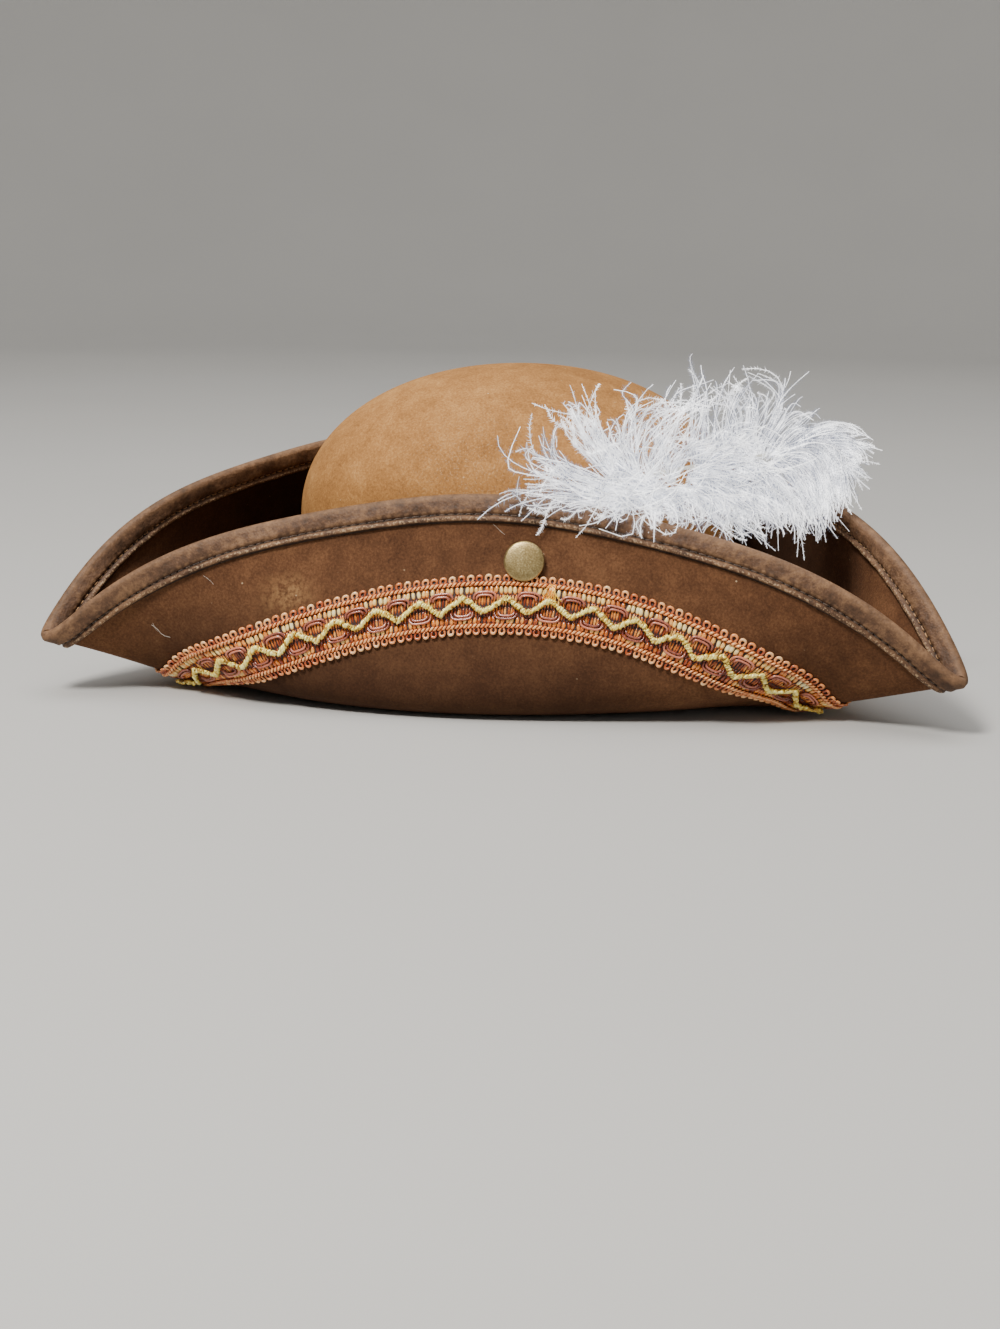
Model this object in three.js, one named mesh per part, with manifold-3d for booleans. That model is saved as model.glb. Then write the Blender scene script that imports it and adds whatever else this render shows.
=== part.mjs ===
// Tricorn hat of stiff felt: a domed crown, a wide brim turned up on three sides,
// a bound edge, a braid band under the brim, a snap stud and a plume of white flues.
// Millimetres. +Z is up, -Y is the front corner and +X is the wearer's left.
// While it is built, the middle of the head oval is at the origin and the brim lies on Z = 0.
import * as THREE from 'three';
import { mergeVertices } from 'three/addons/utils/BufferGeometryUtils.js';
import Module from 'manifold-3d';

const wasm = await Module();
wasm.setup();

// Driving dimensions
const FELT = 2.2;
const GAP = 0.3;

// Crown: outer half axes of the head oval, and the dome over it
const HEAD_HALF_LENGTH = 103.5;
const HEAD_HALF_WIDTH = 86.5;
const CROWN = { height: 140, side: 72, taper: 1.2, power: 2.1 };

// Brim: flat ring round the crown, collar inside it, and the three corners
const FLAT_RING = 8;
const COLLAR = { height: 14, bend: 3, gap: 0.5 };
const FRONT_CORNER = { reach: 228, height: 11.5 };
const REAR_CORNER = { angle: 123.4, reach: 231.2, height: 9.7 };
const CORNER_ROUNDING = 7;
const HORN_SPREAD = 19.5;

// A row for each flap: rise of its rim over the corners, how square that rise is, the low
// peak at its middle, and how far the rim bows in towards the crown
const FLAPS = {
  left: { rise: 68.4, square: 3.49, peak: 11.5, bow: 15 },
  right: { rise: 76.3, square: 4.18, peak: 10.8, bow: 3.3 },
  rear: { rise: 77.1, square: 3.64, peak: 0, bow: 13.5 },
};
const PEAK_WIDTH = 0.17;

// A row for each kind of section from crown to rim: how far it runs level before it turns,
// how long its straight upper part is, and the lean of that part from upright or from level
const SECTIONS = {
  flap: { level: 43, straight: 61, lean: 15.6 },
  horn: { level: 63, straight: 61, lean: 17 },
};

// Binding folded over the rim, and the braid band under the brim
const BINDING = { width: 10, thickness: 1.2, tipRoom: 0.3 };
const BRAID = { ringRadius: 159.8, width: 25.4, thickness: 1.2 };

// Snap stud through the left flap and the crown
const STUD = { angle: 66, belowRim: 25, capRadius: 8.5, postRadius: 2.3, washerRadius: 6, washer: 1.2 };

// Plume between the left flap and the crown: a bare quill, a shaft with down round it, and locks
const QUILL = {
  radius: 1.5,
  steps: 8,
  path: [[85.3, -24, 50], [85.3, -23, 70], [87.2, -18, 84], [93, -6, 94], [100, 12, 100]],
};
const DOWN = {
  path: [[97, -10, 97], [100, 14, 100], [101, 40, 104], [100, 72, 108], [99, 100, 107]],
  radii: [3, 12, 17, 18, 17, 15, 12, 8, 3],
};
// A row for each fan of locks: where on the shaft it grows (0 to 1), its first and last tip,
// how many locks it has and how far their middles arch upwards
const FANS = [
  { first: 0.05, last: 0.25, from: [84, -45, 99], to: [88, -8, 134], locks: 6, arch: 3 },
  { first: 0.3, last: 0.5, from: [92, 8, 130], to: [99, 34, 143], locks: 3, arch: 0 },
  { first: 0.55, last: 0.75, from: [101, 46, 145], to: [104, 84, 138], locks: 4, arch: -3 },
  { first: 0.82, last: 0.98, from: [103, 99, 125], to: [101, 119, 98], locks: 4, arch: 4 },
  { first: 0.92, last: 0.5, from: [104, 108, 84], to: [108, 64, 77], locks: 5, arch: 8 },
  { first: 0.45, last: 0.15, from: [118, 46, 88], to: [113, 0, 98], locks: 4, arch: 6 },
  { first: 0.3, last: 0.75, from: [122, 26, 108], to: [119, 84, 112], locks: 3, arch: 4 },
  { first: 0.35, last: 0.8, from: [82, 34, 120], to: [84, 88, 116], locks: 3, arch: 4 },
];
const LOCK = { radii: [7, 8.6, 7.2, 1.5], sides: 5 };

// Fineness
const SIDE_COLUMNS = 30;
const REAR_COLUMNS = 26;
const CORNER_CROWDING = 0.66;
const CROWN_COLUMNS = 60;
const SECTION_SAMPLES = 96;
const ROUNDING_STEPS = 12;

const RAD = Math.PI / 180;
const UP = new THREE.Vector3(0, 0, 1);

const lerp = (a, b, t) => a + (b - a) * t;

function across(angle, radius, z = 0) {
  // A point at an angle from the front, counted towards the wearer's left
  return new THREE.Vector3(radius * Math.sin(angle * RAD), -radius * Math.cos(angle * RAD), z);
}

function headRadius(angle, inset = 0) {
  // Radius of the head oval at an angle from the front
  const a = HEAD_HALF_LENGTH - inset;
  const b = HEAD_HALF_WIDTH - inset;
  return (a * b) / Math.hypot(b * Math.cos(angle * RAD), a * Math.sin(angle * RAD));
}

function crownLean(z) {
  // How far the crown's side has come in at a height
  return CROWN.taper * Math.min(z / CROWN.side, 1);
}

function foldAngle(angle) {
  // The same angle between -180 and 180
  return ((((angle + 180) % 360) + 360) % 360) - 180;
}

function cornerPoints() {
  const front = across(0, FRONT_CORNER.reach, FRONT_CORNER.height);
  const rear = across(REAR_CORNER.angle, REAR_CORNER.reach, REAR_CORNER.height);
  return { front, rear };
}

function rise(flap, u) {
  // Height of a flap's rim over its corners, for u from corner (0) to corner (1)
  const arch = 1 - Math.abs(2 * u - 1) ** flap.square;
  const peak = Math.exp(-(((u - 0.5) / PEAK_WIDTH) ** 2));
  return flap.rise * arch + flap.peak * peak;
}

function sharpRim(angle) {
  // The rim with corners that come to a point
  const side = foldAngle(angle);
  const turn = Math.abs(side);
  const { front, rear } = cornerPoints();
  let point;
  if (turn <= REAR_CORNER.angle) {
    const flap = side >= 0 ? FLAPS.left : FLAPS.right;
    const u = turn / REAR_CORNER.angle;
    const chord = rear.clone().sub(front).setZ(0).normalize();
    const inwards = new THREE.Vector3(-chord.y, chord.x, 0);
    point = front.clone().lerp(rear, u);
    point.addScaledVector(inwards, flap.bow * 4 * u * (1 - u));
    point.z += rise(flap, u);
  } else {
    const u = (turn - REAR_CORNER.angle) / (360 - 2 * REAR_CORNER.angle);
    point = new THREE.Vector3(rear.x * (1 - 2 * u), rear.y, rear.z);
    point.y -= FLAPS.rear.bow * 4 * u * (1 - u);
    point.z += rise(FLAPS.rear, u);
  }
  if (side < 0) point.x *= -1;
  return point;
}

function rim(angle) {
  // The rim with rounded corners: a weighted mean of the sharp rim over a short stretch
  const point = new THREE.Vector3();
  let total = 0;
  for (let k = -ROUNDING_STEPS; k <= ROUNDING_STEPS; k += 1) {
    const share = k / ROUNDING_STEPS;
    const weight = 1 - 0.4 * Math.abs(share);
    point.addScaledVector(sharpRim(angle + share * CORNER_ROUNDING), weight);
    total += weight;
  }
  return point.divideScalar(total);
}

function cornerness(angle) {
  // 1 in a corner's horn, 0 in the middle of a flap
  const turn = Math.abs(foldAngle(angle));
  const bell = (away) => Math.exp(-((away / HORN_SPREAD) ** 2));
  return Math.min(1, bell(turn) + bell(turn - REAR_CORNER.angle));
}

function flapOutwards(angle) {
  // Level direction that the flap at this angle faces
  const side = foldAngle(angle);
  if (Math.abs(side) >= REAR_CORNER.angle) return new THREE.Vector3(0, 1, 0);
  const { front, rear } = cornerPoints();
  const chord = rear.sub(front).setZ(0).normalize();
  return new THREE.Vector3(chord.y * (side < 0 ? -1 : 1), -chord.x, 0);
}

const sections = new Map();

function section(angle) {
  // The brim's under face from the crown to the rim: points and their distance along it
  const key = foldAngle(angle).toFixed(4);
  if (sections.has(key)) return sections.get(key);
  const side = foldAngle(angle);
  const corner = cornerness(angle);
  const out = across(angle, 1);
  const base = headRadius(angle);
  const edge = rim(angle);
  const { flap, horn } = SECTIONS;
  const flapLine = flapOutwards(angle).multiplyScalar(Math.sin(flap.lean * RAD) * flap.straight);
  flapLine.z -= Math.cos(flap.lean * RAD) * flap.straight;
  const nearest = Math.abs(side) < REAR_CORNER.angle / 2 ? 0 : REAR_CORNER.angle;
  const hornLine = across(nearest * (side < 0 ? -1 : 1), -horn.straight * Math.cos(horn.lean * RAD));
  hornLine.z -= Math.sin(horn.lean * RAD) * horn.straight;
  const curve = new THREE.CubicBezierCurve3(
    out.clone().multiplyScalar(base + FLAT_RING),
    out.clone().multiplyScalar(base + lerp(flap.level, horn.level, corner)),
    edge.clone().addScaledVector(flapLine, 1 - corner).addScaledVector(hornLine, corner),
    edge,
  );
  const points = [out.clone().multiplyScalar(base), ...curve.getPoints(SECTION_SAMPLES)];
  for (const point of points) point.z = Math.max(point.z, 0);
  const lengths = [0];
  for (let i = 1; i < points.length; i += 1) {
    lengths.push(lengths[i - 1] + points[i].distanceTo(points[i - 1]));
  }
  const result = { points, lengths, total: lengths[lengths.length - 1] };
  sections.set(key, result);
  return result;
}

function underFace(angle, distance) {
  // Point on the brim's under face at a distance from the crown
  const { points, lengths } = section(angle);
  let i = 1;
  while (i < lengths.length - 1 && lengths[i] < distance) i += 1;
  const t = (distance - lengths[i - 1]) / (lengths[i] - lengths[i - 1]);
  return points[i - 1].clone().lerp(points[i], t);
}

function facing(angle, distance) {
  // Unit normal out of the under face: down at the crown, outwards on a flap
  if (distance <= FLAT_RING) return new THREE.Vector3(0, 0, -1);
  const step = 0.4;
  const total = section(angle).total;
  const share = distance / total;
  const at = (turn) => underFace(angle + turn, share * section(angle + turn).total);
  const along = at(step).sub(at(-step));
  const outer = underFace(angle, Math.min(distance + 1.5, total));
  const inner = underFace(angle, Math.max(distance - 1.5, 0));
  return along.cross(outer.sub(inner)).normalize();
}

function offBrim(angle, distance, lift) {
  // A point lifted off the under face, outwards for a positive lift
  const point = underFace(angle, distance).addScaledVector(facing(angle, distance), lift);
  point.z = Math.max(point.z, 0);
  return Object.assign(point, { reach: distance });
}

function beyondRim(angle, ahead, lift) {
  // A point past the rim in the wall's own direction
  const { total } = section(angle);
  const edge = underFace(angle, total);
  const onwards = edge.clone().sub(underFace(angle, total - 2)).normalize();
  edge.addScaledVector(onwards, ahead).addScaledVector(facing(angle, total), lift);
  return Object.assign(edge, { reach: total + ahead });
}

function brimColumns() {
  // Angles of the brim's columns, closer together towards the corners
  const spread = (from, to, count) => Array.from({ length: count }, (_, i) => {
    const x = i / count;
    return lerp(from, to, x - (CORNER_CROWDING * Math.sin(2 * Math.PI * x)) / (2 * Math.PI));
  });
  const rear = REAR_CORNER.angle;
  return [
    ...spread(0, rear, SIDE_COLUMNS),
    ...spread(rear, 360 - rear, REAR_COLUMNS),
    ...spread(360 - rear, 360, SIDE_COLUMNS),
  ];
}

function surface(points, triangles) {
  const geometry = new THREE.BufferGeometry();
  geometry.setAttribute('position', new THREE.Float32BufferAttribute(points.flatMap((p) => p.toArray()), 3));
  geometry.setIndex(triangles);
  return geometry;
}

function ringOf(columns, outline) {
  // A closed ring: the same closed outline at every column, joined to the next column's. Each
  // four-sided patch is split from its end near the crown to its end near the rim, so that
  // faces that lie on each other are split alike.
  const rows = columns.map(outline);
  const size = rows[0].length;
  const triangles = [];
  for (let i = 0; i < rows.length; i += 1) {
    const here = i * size;
    const next = ((i + 1) % rows.length) * size;
    for (let j = 0; j < size; j += 1) {
      const k = (j + 1) % size;
      if (rows[i][j].reach <= rows[i][k].reach) {
        triangles.push(here + j, next + j, next + k, here + j, next + k, here + k);
      } else {
        triangles.push(here + j, next + j, here + k, next + j, next + k, here + k);
      }
    }
  }
  return surface(rows.flat(), triangles);
}

function solid(geometry) {
  // The same shape as a solid for joining and cutting
  const plain = geometry.clone();
  for (const name of Object.keys(plain.attributes)) {
    if (name !== 'position') plain.deleteAttribute(name);
  }
  const merged = mergeVertices(plain, 1e-5);
  return new wasm.Manifold(new wasm.Mesh({
    numProp: 3,
    vertProperties: new Float32Array(merged.attributes.position.array),
    triVerts: new Uint32Array(merged.index.array),
  }));
}

function shapeOf(manifold) {
  const { vertProperties, triVerts } = manifold.getMesh();
  const geometry = new THREE.BufferGeometry();
  geometry.setAttribute('position', new THREE.BufferAttribute(vertProperties, 3));
  geometry.setIndex(new THREE.BufferAttribute(triVerts, 1));
  return geometry;
}

function turned(geometry, direction, place) {
  // A shape made along +Z, turned to a direction and moved to its place
  const turn = new THREE.Quaternion().setFromUnitVectors(UP, direction);
  return geometry.applyQuaternion(turn).translate(place.x, place.y, place.z);
}

function rod(radius, length, sides = 12) {
  // A rod along +Z, with its middle at the origin
  return new THREE.CylinderGeometry(radius, radius, length, sides).rotateX(Math.PI / 2);
}

// Crown
function crownRow(share, inset) {
  // Level ring of the crown: share 0 to 1 up the side, 1 to 2 over the dome
  const { height, side, power } = CROWN;
  const foot = FELT + GAP;
  let z = lerp(foot, side, Math.min(share, 1));
  let scale = 1;
  if (share > 1) {
    const swing = (share - 1) * Math.PI / 2;
    scale = Math.cos(swing) ** (2 / power);
    z = side + (height - inset - side) * Math.sin(swing) ** (2 / power);
  }
  const a = (HEAD_HALF_LENGTH - crownLean(z) - inset) * scale;
  const b = (HEAD_HALF_WIDTH - crownLean(z) - inset) * scale;
  return Array.from({ length: CROWN_COLUMNS }, (_, i) => {
    const t = (2 * Math.PI * i) / CROWN_COLUMNS;
    return new THREE.Vector3(b * Math.sin(t), -a * Math.cos(t), z);
  });
}

function crownGeometry() {
  const outer = [0, 0.5, 1, 1.22, 1.42, 1.6, 1.76, 1.88, 1.96];
  const inner = [1.95, 1.84, 1.68, 1.48, 1.24, 1, 0];
  const rings = [
    ...outer.toReversed().map((share) => crownRow(share, 0)),
    ...inner.toReversed().map((share) => crownRow(share, FELT)),
  ];
  const points = [new THREE.Vector3(0, 0, CROWN.height), ...rings.flat()];
  points.push(new THREE.Vector3(0, 0, CROWN.height - FELT));
  const last = points.length - 1;
  const n = CROWN_COLUMNS;
  const triangles = [];
  for (let i = 0; i < n; i += 1) {
    const j = (i + 1) % n;
    triangles.push(0, 1 + i, 1 + j);
    for (let r = 0; r < rings.length - 1; r += 1) {
      const upper = 1 + r * n;
      const lower = upper + n;
      triangles.push(upper + i, lower + i, lower + j, upper + i, lower + j, upper + j);
    }
    triangles.push(last, last - n + j, last - n + i);
  }
  return surface(points, triangles);
}

// Brim
function braidDistances(angle) {
  // Distance from the crown of the braid's inner edge, its middle and its outer edge
  const middle = BRAID.ringRadius - headRadius(angle);
  return [middle - BRAID.width / 2, middle, middle + BRAID.width / 2];
}

function brimOutline(angle) {
  // Closed outline of the brim wall: collar, under face out to the rim, and the upper face back
  const outer = FELT + COLLAR.gap;
  const inner = outer + FELT;
  const { total } = section(angle);
  const bound = total - BINDING.width - 1;
  const braidRows = braidDistances(angle);
  const [near, , far] = braidRows;
  const level = (share) => lerp(FLAT_RING, near, share);
  const under = [FLAT_RING, level(0.33), level(0.67), ...braidRows, lerp(far, bound, 0.5), bound, total];
  const upper = [total, bound, far, ...braidRows.slice(0, 2).toReversed(), level(0.5), FLAT_RING];
  const ring = (inset, z) => Object.assign(
    across(angle, headRadius(angle, inset + crownLean(z)), z),
    { reach: -inset },
  );
  const bend = (turn) => ring(
    inner - COLLAR.bend * (1 - Math.cos(turn * RAD)),
    COLLAR.bend * (1 - Math.sin(turn * RAD)),
  );
  return [
    ring(outer, COLLAR.height),
    ring(inner, COLLAR.height),
    bend(0),
    bend(45),
    bend(90),
    ...under.map((distance) => offBrim(angle, distance, 0)),
    ...upper.map((distance) => offBrim(angle, distance, -FELT)),
    ring(outer, FELT),
  ];
}

// Binding
function bindingOutline(angle) {
  // U-shaped outline round the rim: outer leg, round top, inner leg, and the fold back inside
  const { width, thickness, tipRoom } = BINDING;
  const { total } = section(angle);
  const middle = -FELT / 2;
  const room = GAP + tipRoom * cornerness(angle) ** 20;
  const inner = FELT / 2 + room;
  const outer = inner + thickness;
  const leg = total - width;
  const half = total - 3;
  const round = [90, 54, 18, -18, -54, -90].map((turn) => beyondRim(
    angle,
    outer * Math.cos(turn * RAD),
    middle + outer * Math.sin(turn * RAD),
  ));
  return [
    offBrim(angle, leg, middle + outer),
    offBrim(angle, half, middle + outer),
    ...round,
    offBrim(angle, leg, middle - outer),
    offBrim(angle, leg, middle - inner),
    beyondRim(angle, room, middle - inner),
    beyondRim(angle, room, middle + inner),
    offBrim(angle, leg, middle + inner),
  ];
}

// Braid
function braidOutline(angle) {
  // Flat outline of the band, lying on the brim's under face
  const rows = braidDistances(angle);
  return [
    ...rows.map((row) => offBrim(angle, row, GAP + BRAID.thickness)),
    ...rows.toReversed().map((row) => offBrim(angle, row, GAP)),
  ];
}

// Snap stud
function studPlace() {
  // Seat of the cap, the direction it faces, and where its post comes out inside the crown
  const distance = section(STUD.angle).total - STUD.belowRim;
  const seat = underFace(STUD.angle, distance);
  const outwards = facing(STUD.angle, distance);
  const inset = crownLean(seat.z) + FELT + 2 * GAP + STUD.washer / 2;
  const a = HEAD_HALF_LENGTH - inset;
  const b = HEAD_HALF_WIDTH - inset;
  const qa = (outwards.x / b) ** 2 + (outwards.y / a) ** 2;
  const qb = -2 * ((seat.x * outwards.x) / b ** 2 + (seat.y * outwards.y) / a ** 2);
  const qc = (seat.x / b) ** 2 + (seat.y / a) ** 2 - 1;
  const depth = (-qb - Math.sqrt(qb ** 2 - 4 * qa * qc)) / (2 * qa);
  const inside = seat.clone().addScaledVector(outwards, -depth);
  const wallNormal = new THREE.Vector3(inside.x / b ** 2, inside.y / a ** 2, 0).normalize();
  return { seat, outwards, depth, inside, wallNormal };
}

function studGeometry() {
  const { seat, outwards, depth, inside, wallNormal } = studPlace();
  const { capRadius, postRadius, washerRadius, washer } = STUD;
  const under = GAP + BRAID.thickness + GAP;
  const profile = [
    [0, -depth], [postRadius, -depth], [postRadius, GAP], [5, GAP], [5, under], [capRadius - 0.4, under],
    [capRadius, under + 0.5], [capRadius, under + 1.1], [capRadius - 0.6, under + 1.7],
    [capRadius / 2, under + 2.1], [0, under + 2.2],
  ].map(([x, y]) => new THREE.Vector2(x, y));
  const cap = new THREE.LatheGeometry(profile, 16).rotateX(Math.PI / 2);
  const disc = rod(washerRadius, washer);
  return shapeOf(solid(turned(cap, outwards, seat)).add(solid(turned(disc, wallNormal, inside))));
}

function studHole() {
  // Clearance hole for the post, from outside the flap to inside the crown
  const { seat, outwards, depth } = studPlace();
  const middle = seat.clone().addScaledVector(outwards, -depth / 2);
  return solid(turned(rod(STUD.postRadius + GAP, depth + 12), outwards, middle));
}

// Plume
function tapered(path, radii, sides) {
  // A closed tapered tube along a curve, with a radius for each step
  const curve = new THREE.CatmullRomCurve3(path);
  const steps = radii.length - 1;
  const frames = curve.computeFrenetFrames(steps, false);
  const points = [];
  radii.forEach((radius, i) => {
    const centre = curve.getPointAt(i / steps);
    for (let s = 0; s < sides; s += 1) {
      const turn = (2 * Math.PI * s) / sides;
      points.push(centre.clone()
        .addScaledVector(frames.normals[i], radius * Math.cos(turn))
        .addScaledVector(frames.binormals[i], radius * Math.sin(turn)));
    }
  });
  const triangles = [];
  for (let i = 0; i < steps; i += 1) {
    for (let s = 0; s < sides; s += 1) {
      const a = i * sides + s;
      const b = i * sides + ((s + 1) % sides);
      triangles.push(a, b, b + sides, a, b + sides, a + sides);
    }
  }
  for (let s = 1; s < sides - 1; s += 1) {
    const end = steps * sides;
    triangles.push(0, s + 1, s, end, end + s, end + s + 1);
  }
  return surface(points, triangles);
}

const vectors = (rows) => rows.map((row) => new THREE.Vector3(...row));

function lockPaths() {
  // Each lock's path: from the shaft, over a raised middle, to its tip
  const shaft = new THREE.CatmullRomCurve3(vectors(DOWN.path));
  return FANS.flatMap(({ first, last, from, to, locks, arch }) => {
    const [start, end] = vectors([from, to]);
    return Array.from({ length: locks }, (_, i) => {
      const t = i / (locks - 1);
      const root = shaft.getPointAt(lerp(first, last, t));
      const tip = start.clone().lerp(end, t);
      const middle = root.clone().lerp(tip, 0.5);
      middle.z += arch;
      return [root, middle, tip];
    });
  });
}

function plumeGeometry() {
  const quill = tapered(vectors(QUILL.path), Array(QUILL.steps + 1).fill(QUILL.radius), 8);
  const down = tapered(vectors(DOWN.path), DOWN.radii, 8);
  let plume = solid(quill).add(solid(down));
  for (const path of lockPaths()) plume = plume.add(solid(tapered(path, LOCK.radii, LOCK.sides)));
  return shapeOf(plume);
}

// Colours and finishes
const felt = new THREE.MeshStandardMaterial({ color: 0x6b4a30, roughness: 0.95, metalness: 0 });
const crownFelt = new THREE.MeshStandardMaterial({ color: 0x96704a, roughness: 0.95, metalness: 0 });
const binding = new THREE.MeshStandardMaterial({ color: 0x5c4534, roughness: 0.55, metalness: 0 });
const braid = new THREE.MeshStandardMaterial({ color: 0xb8714c, roughness: 0.5, metalness: 0.1 });
const brass = new THREE.MeshStandardMaterial({ color: 0x8f7f52, roughness: 0.45, metalness: 0.9 });
const feather = new THREE.MeshStandardMaterial({ color: 0xf2f2f2, roughness: 0.9, metalness: 0 });

function piece(name, geometry, material) {
  const mesh = new THREE.Mesh(geometry, material);
  mesh.name = name;
  return mesh;
}

const columns = brimColumns();
const hole = studHole();
const hat = new THREE.Group();
hat.add(
  piece('crown', shapeOf(solid(crownGeometry()).subtract(hole)), crownFelt),
  piece('brim', shapeOf(solid(ringOf(columns, brimOutline)).subtract(hole)), felt),
  piece('edge_binding', ringOf(columns, bindingOutline), binding),
  piece('braid', ringOf(columns, braidOutline), braid),
  piece('snap_stud', studGeometry(), brass),
  piece('plume', plumeGeometry(), feather),
);

// The origin is under the middle of the hat's box, on the plane that it rests on
const box = new THREE.Box3().setFromObject(hat);
hat.position.set(-(box.min.x + box.max.x) / 2, -(box.min.y + box.max.y) / 2, -box.min.z);

export default hat;
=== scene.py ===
# %% [markdown]
# # A tricorn hat
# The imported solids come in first. They fix where every piece is. The felt, the braid, the stitches and
# the plume are then made fine enough to be looked at, in the same places.

# %% Frame and sizes before dressing
import math

import bmesh
import bpy
import numpy as np
from mathutils import Matrix, Vector


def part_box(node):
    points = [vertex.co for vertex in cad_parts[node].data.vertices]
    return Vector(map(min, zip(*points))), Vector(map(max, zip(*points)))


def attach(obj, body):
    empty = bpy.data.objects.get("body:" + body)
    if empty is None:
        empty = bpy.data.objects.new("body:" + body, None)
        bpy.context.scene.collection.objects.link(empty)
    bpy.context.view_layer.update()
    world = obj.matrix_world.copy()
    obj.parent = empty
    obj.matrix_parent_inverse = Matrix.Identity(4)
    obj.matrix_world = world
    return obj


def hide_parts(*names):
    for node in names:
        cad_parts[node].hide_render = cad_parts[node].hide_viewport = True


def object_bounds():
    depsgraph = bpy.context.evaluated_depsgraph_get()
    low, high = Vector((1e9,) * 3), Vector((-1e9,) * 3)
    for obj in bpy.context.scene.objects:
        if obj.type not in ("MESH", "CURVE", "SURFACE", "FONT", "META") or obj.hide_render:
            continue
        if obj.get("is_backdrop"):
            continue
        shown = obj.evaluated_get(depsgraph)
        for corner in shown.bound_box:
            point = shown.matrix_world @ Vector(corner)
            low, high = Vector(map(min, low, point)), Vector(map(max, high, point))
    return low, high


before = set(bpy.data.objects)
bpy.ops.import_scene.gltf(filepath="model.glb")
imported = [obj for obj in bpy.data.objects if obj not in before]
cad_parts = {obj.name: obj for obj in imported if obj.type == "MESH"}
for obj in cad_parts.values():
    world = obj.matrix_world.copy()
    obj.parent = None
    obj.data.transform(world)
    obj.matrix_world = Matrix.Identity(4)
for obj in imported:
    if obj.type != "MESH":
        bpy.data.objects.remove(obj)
cad_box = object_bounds()
MM = 0.001
BODY = "root"
crown_low, crown_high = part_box("crown")
CENTRE = Vector(((crown_low.x + crown_high.x) / 2, (crown_low.y + crown_high.y) / 2, 0))
print("nodes", sorted(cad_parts), "crown centre in mm", [round(v / MM, 2) for v in CENTRE])

# %% [markdown]
# ## Camera
# A photograph is matched by where the eye stood, which way it looked and how long the lens was.
# The eye is given from the middle of the head oval, and the turn by three plain angles. A constraint
# that tracks a target would be another way, but it could not hold the slight roll.

# %% Camera
EYE = Vector((820.3, -315.5, 200.7)) * MM
AZIMUTH, ELEVATION, ROLL = 69.50, 12.96, 0.87
LENS = 51.47


def add_camera():
    azimuth, elevation, roll = (math.radians(v) for v in (AZIMUTH, ELEVATION, ROLL))
    back = Vector((
        math.sin(azimuth) * math.cos(elevation),
        -math.cos(azimuth) * math.cos(elevation),
        math.sin(elevation),
    ))
    level = Vector((math.cos(azimuth), math.sin(azimuth), 0))
    upright = back.cross(level)
    right = level * math.cos(roll) + upright * math.sin(roll)
    up = back.cross(right)
    turn = Matrix((right, up, back)).transposed().to_4x4()
    data = bpy.data.cameras.new("camera")
    data.sensor_width = 36
    data.lens = LENS
    camera = bpy.data.objects.new("camera", data)
    bpy.context.scene.collection.objects.link(camera)
    camera.matrix_world = Matrix.Translation(CENTRE + EYE) @ turn
    bpy.context.scene.camera = camera
    return camera


camera = add_camera()
print("camera", camera.location[:])

# %% [markdown]
# ## Sizes of the hat
# A blocked felt hat starts from a head oval and a brim. The same driving sizes that shaped the solids
# are written here again, in millimetres, with the middle of the head oval at the origin.

# %% Sizes
FELT = 2.2
GAP = 0.3
HEAD_HALF_LENGTH, HEAD_HALF_WIDTH = 103.5, 86.5
CROWN = dict(height=140, side=72, taper=1.2, power=2.1)
FLAT_RING = 8
COLLAR = dict(height=14, bend=3, gap=0.5)
FRONT_REACH, FRONT_HEIGHT = 228, 11.5
REAR_ANGLE, REAR_REACH, REAR_HEIGHT = 123.4, 231.2, 9.7
CORNER_ROUNDING = 7
HORN_SPREAD = 19.5
FLAPS = dict(
    left=dict(rise=68.4, square=3.49, peak=11.5, bow=15),
    right=dict(rise=76.3, square=4.18, peak=10.8, bow=3.3),
    rear=dict(rise=77.1, square=3.64, peak=0, bow=13.5),
)
PEAK_WIDTH = 0.17
FLAP_SECTION = dict(level=43, straight=61, lean=15.6)
HORN_SECTION = dict(level=63, straight=61, lean=17)
BINDING = dict(width=10, thickness=1.2, tip_room=0.3)
BRAID = dict(ring=159.8, width=25.4, thickness=1.2)
STUD = dict(angle=66, below_rim=25, cap=8.5, post=2.3, washer=6)

# %% [markdown]
# ## The brim as a map
# Every piece on the brim is placed by two numbers, as a hatter would measure: the angle round the head
# and the distance from the crown along the felt. A table of the under face, worked out once on a fine
# net, turns these into a point and the direction that the felt faces there. Modelling the brim by hand
# and snapping things onto it would also work, but a formula keeps braid, binding and stitches exact.

# %% Plain helpers
def bell(x, middle, width):
    return np.exp(-(((x - middle) / width) ** 2))


def unit(vectors):
    return vectors / (np.linalg.norm(vectors, axis=-1, keepdims=True) + 1e-12)


def length_along(points, axis=0):
    """How far along its line each point is"""
    steps = np.linalg.norm(np.diff(points, axis=axis), axis=-1)
    return np.concatenate([np.zeros_like(steps.take([0], axis)), np.cumsum(steps, axis)], axis)


def turned(angle, radius, z=0.0):
    """Points at an angle from the front and a distance from the middle of the head"""
    angle = np.radians(angle)
    x, y = radius * np.sin(angle), -radius * np.cos(angle)
    return np.stack([x, y, np.broadcast_to(z, angle.shape)], -1)


def folded(angle):
    """The angle from the front, below 0 on the wearer's right"""
    return (np.asarray(angle, float) + 180) % 360 - 180


# %% Rim
def head_radius(angle, inset=0.0):
    a, b = HEAD_HALF_LENGTH - inset, HEAD_HALF_WIDTH - inset
    return a * b / np.hypot(b * np.cos(np.radians(angle)), a * np.sin(np.radians(angle)))


def rise(flap, u):
    dome = 1 - np.abs(2 * u - 1) ** flap["square"]
    return flap["rise"] * dome + flap["peak"] * bell(u, 0.5, PEAK_WIDTH)


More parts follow.
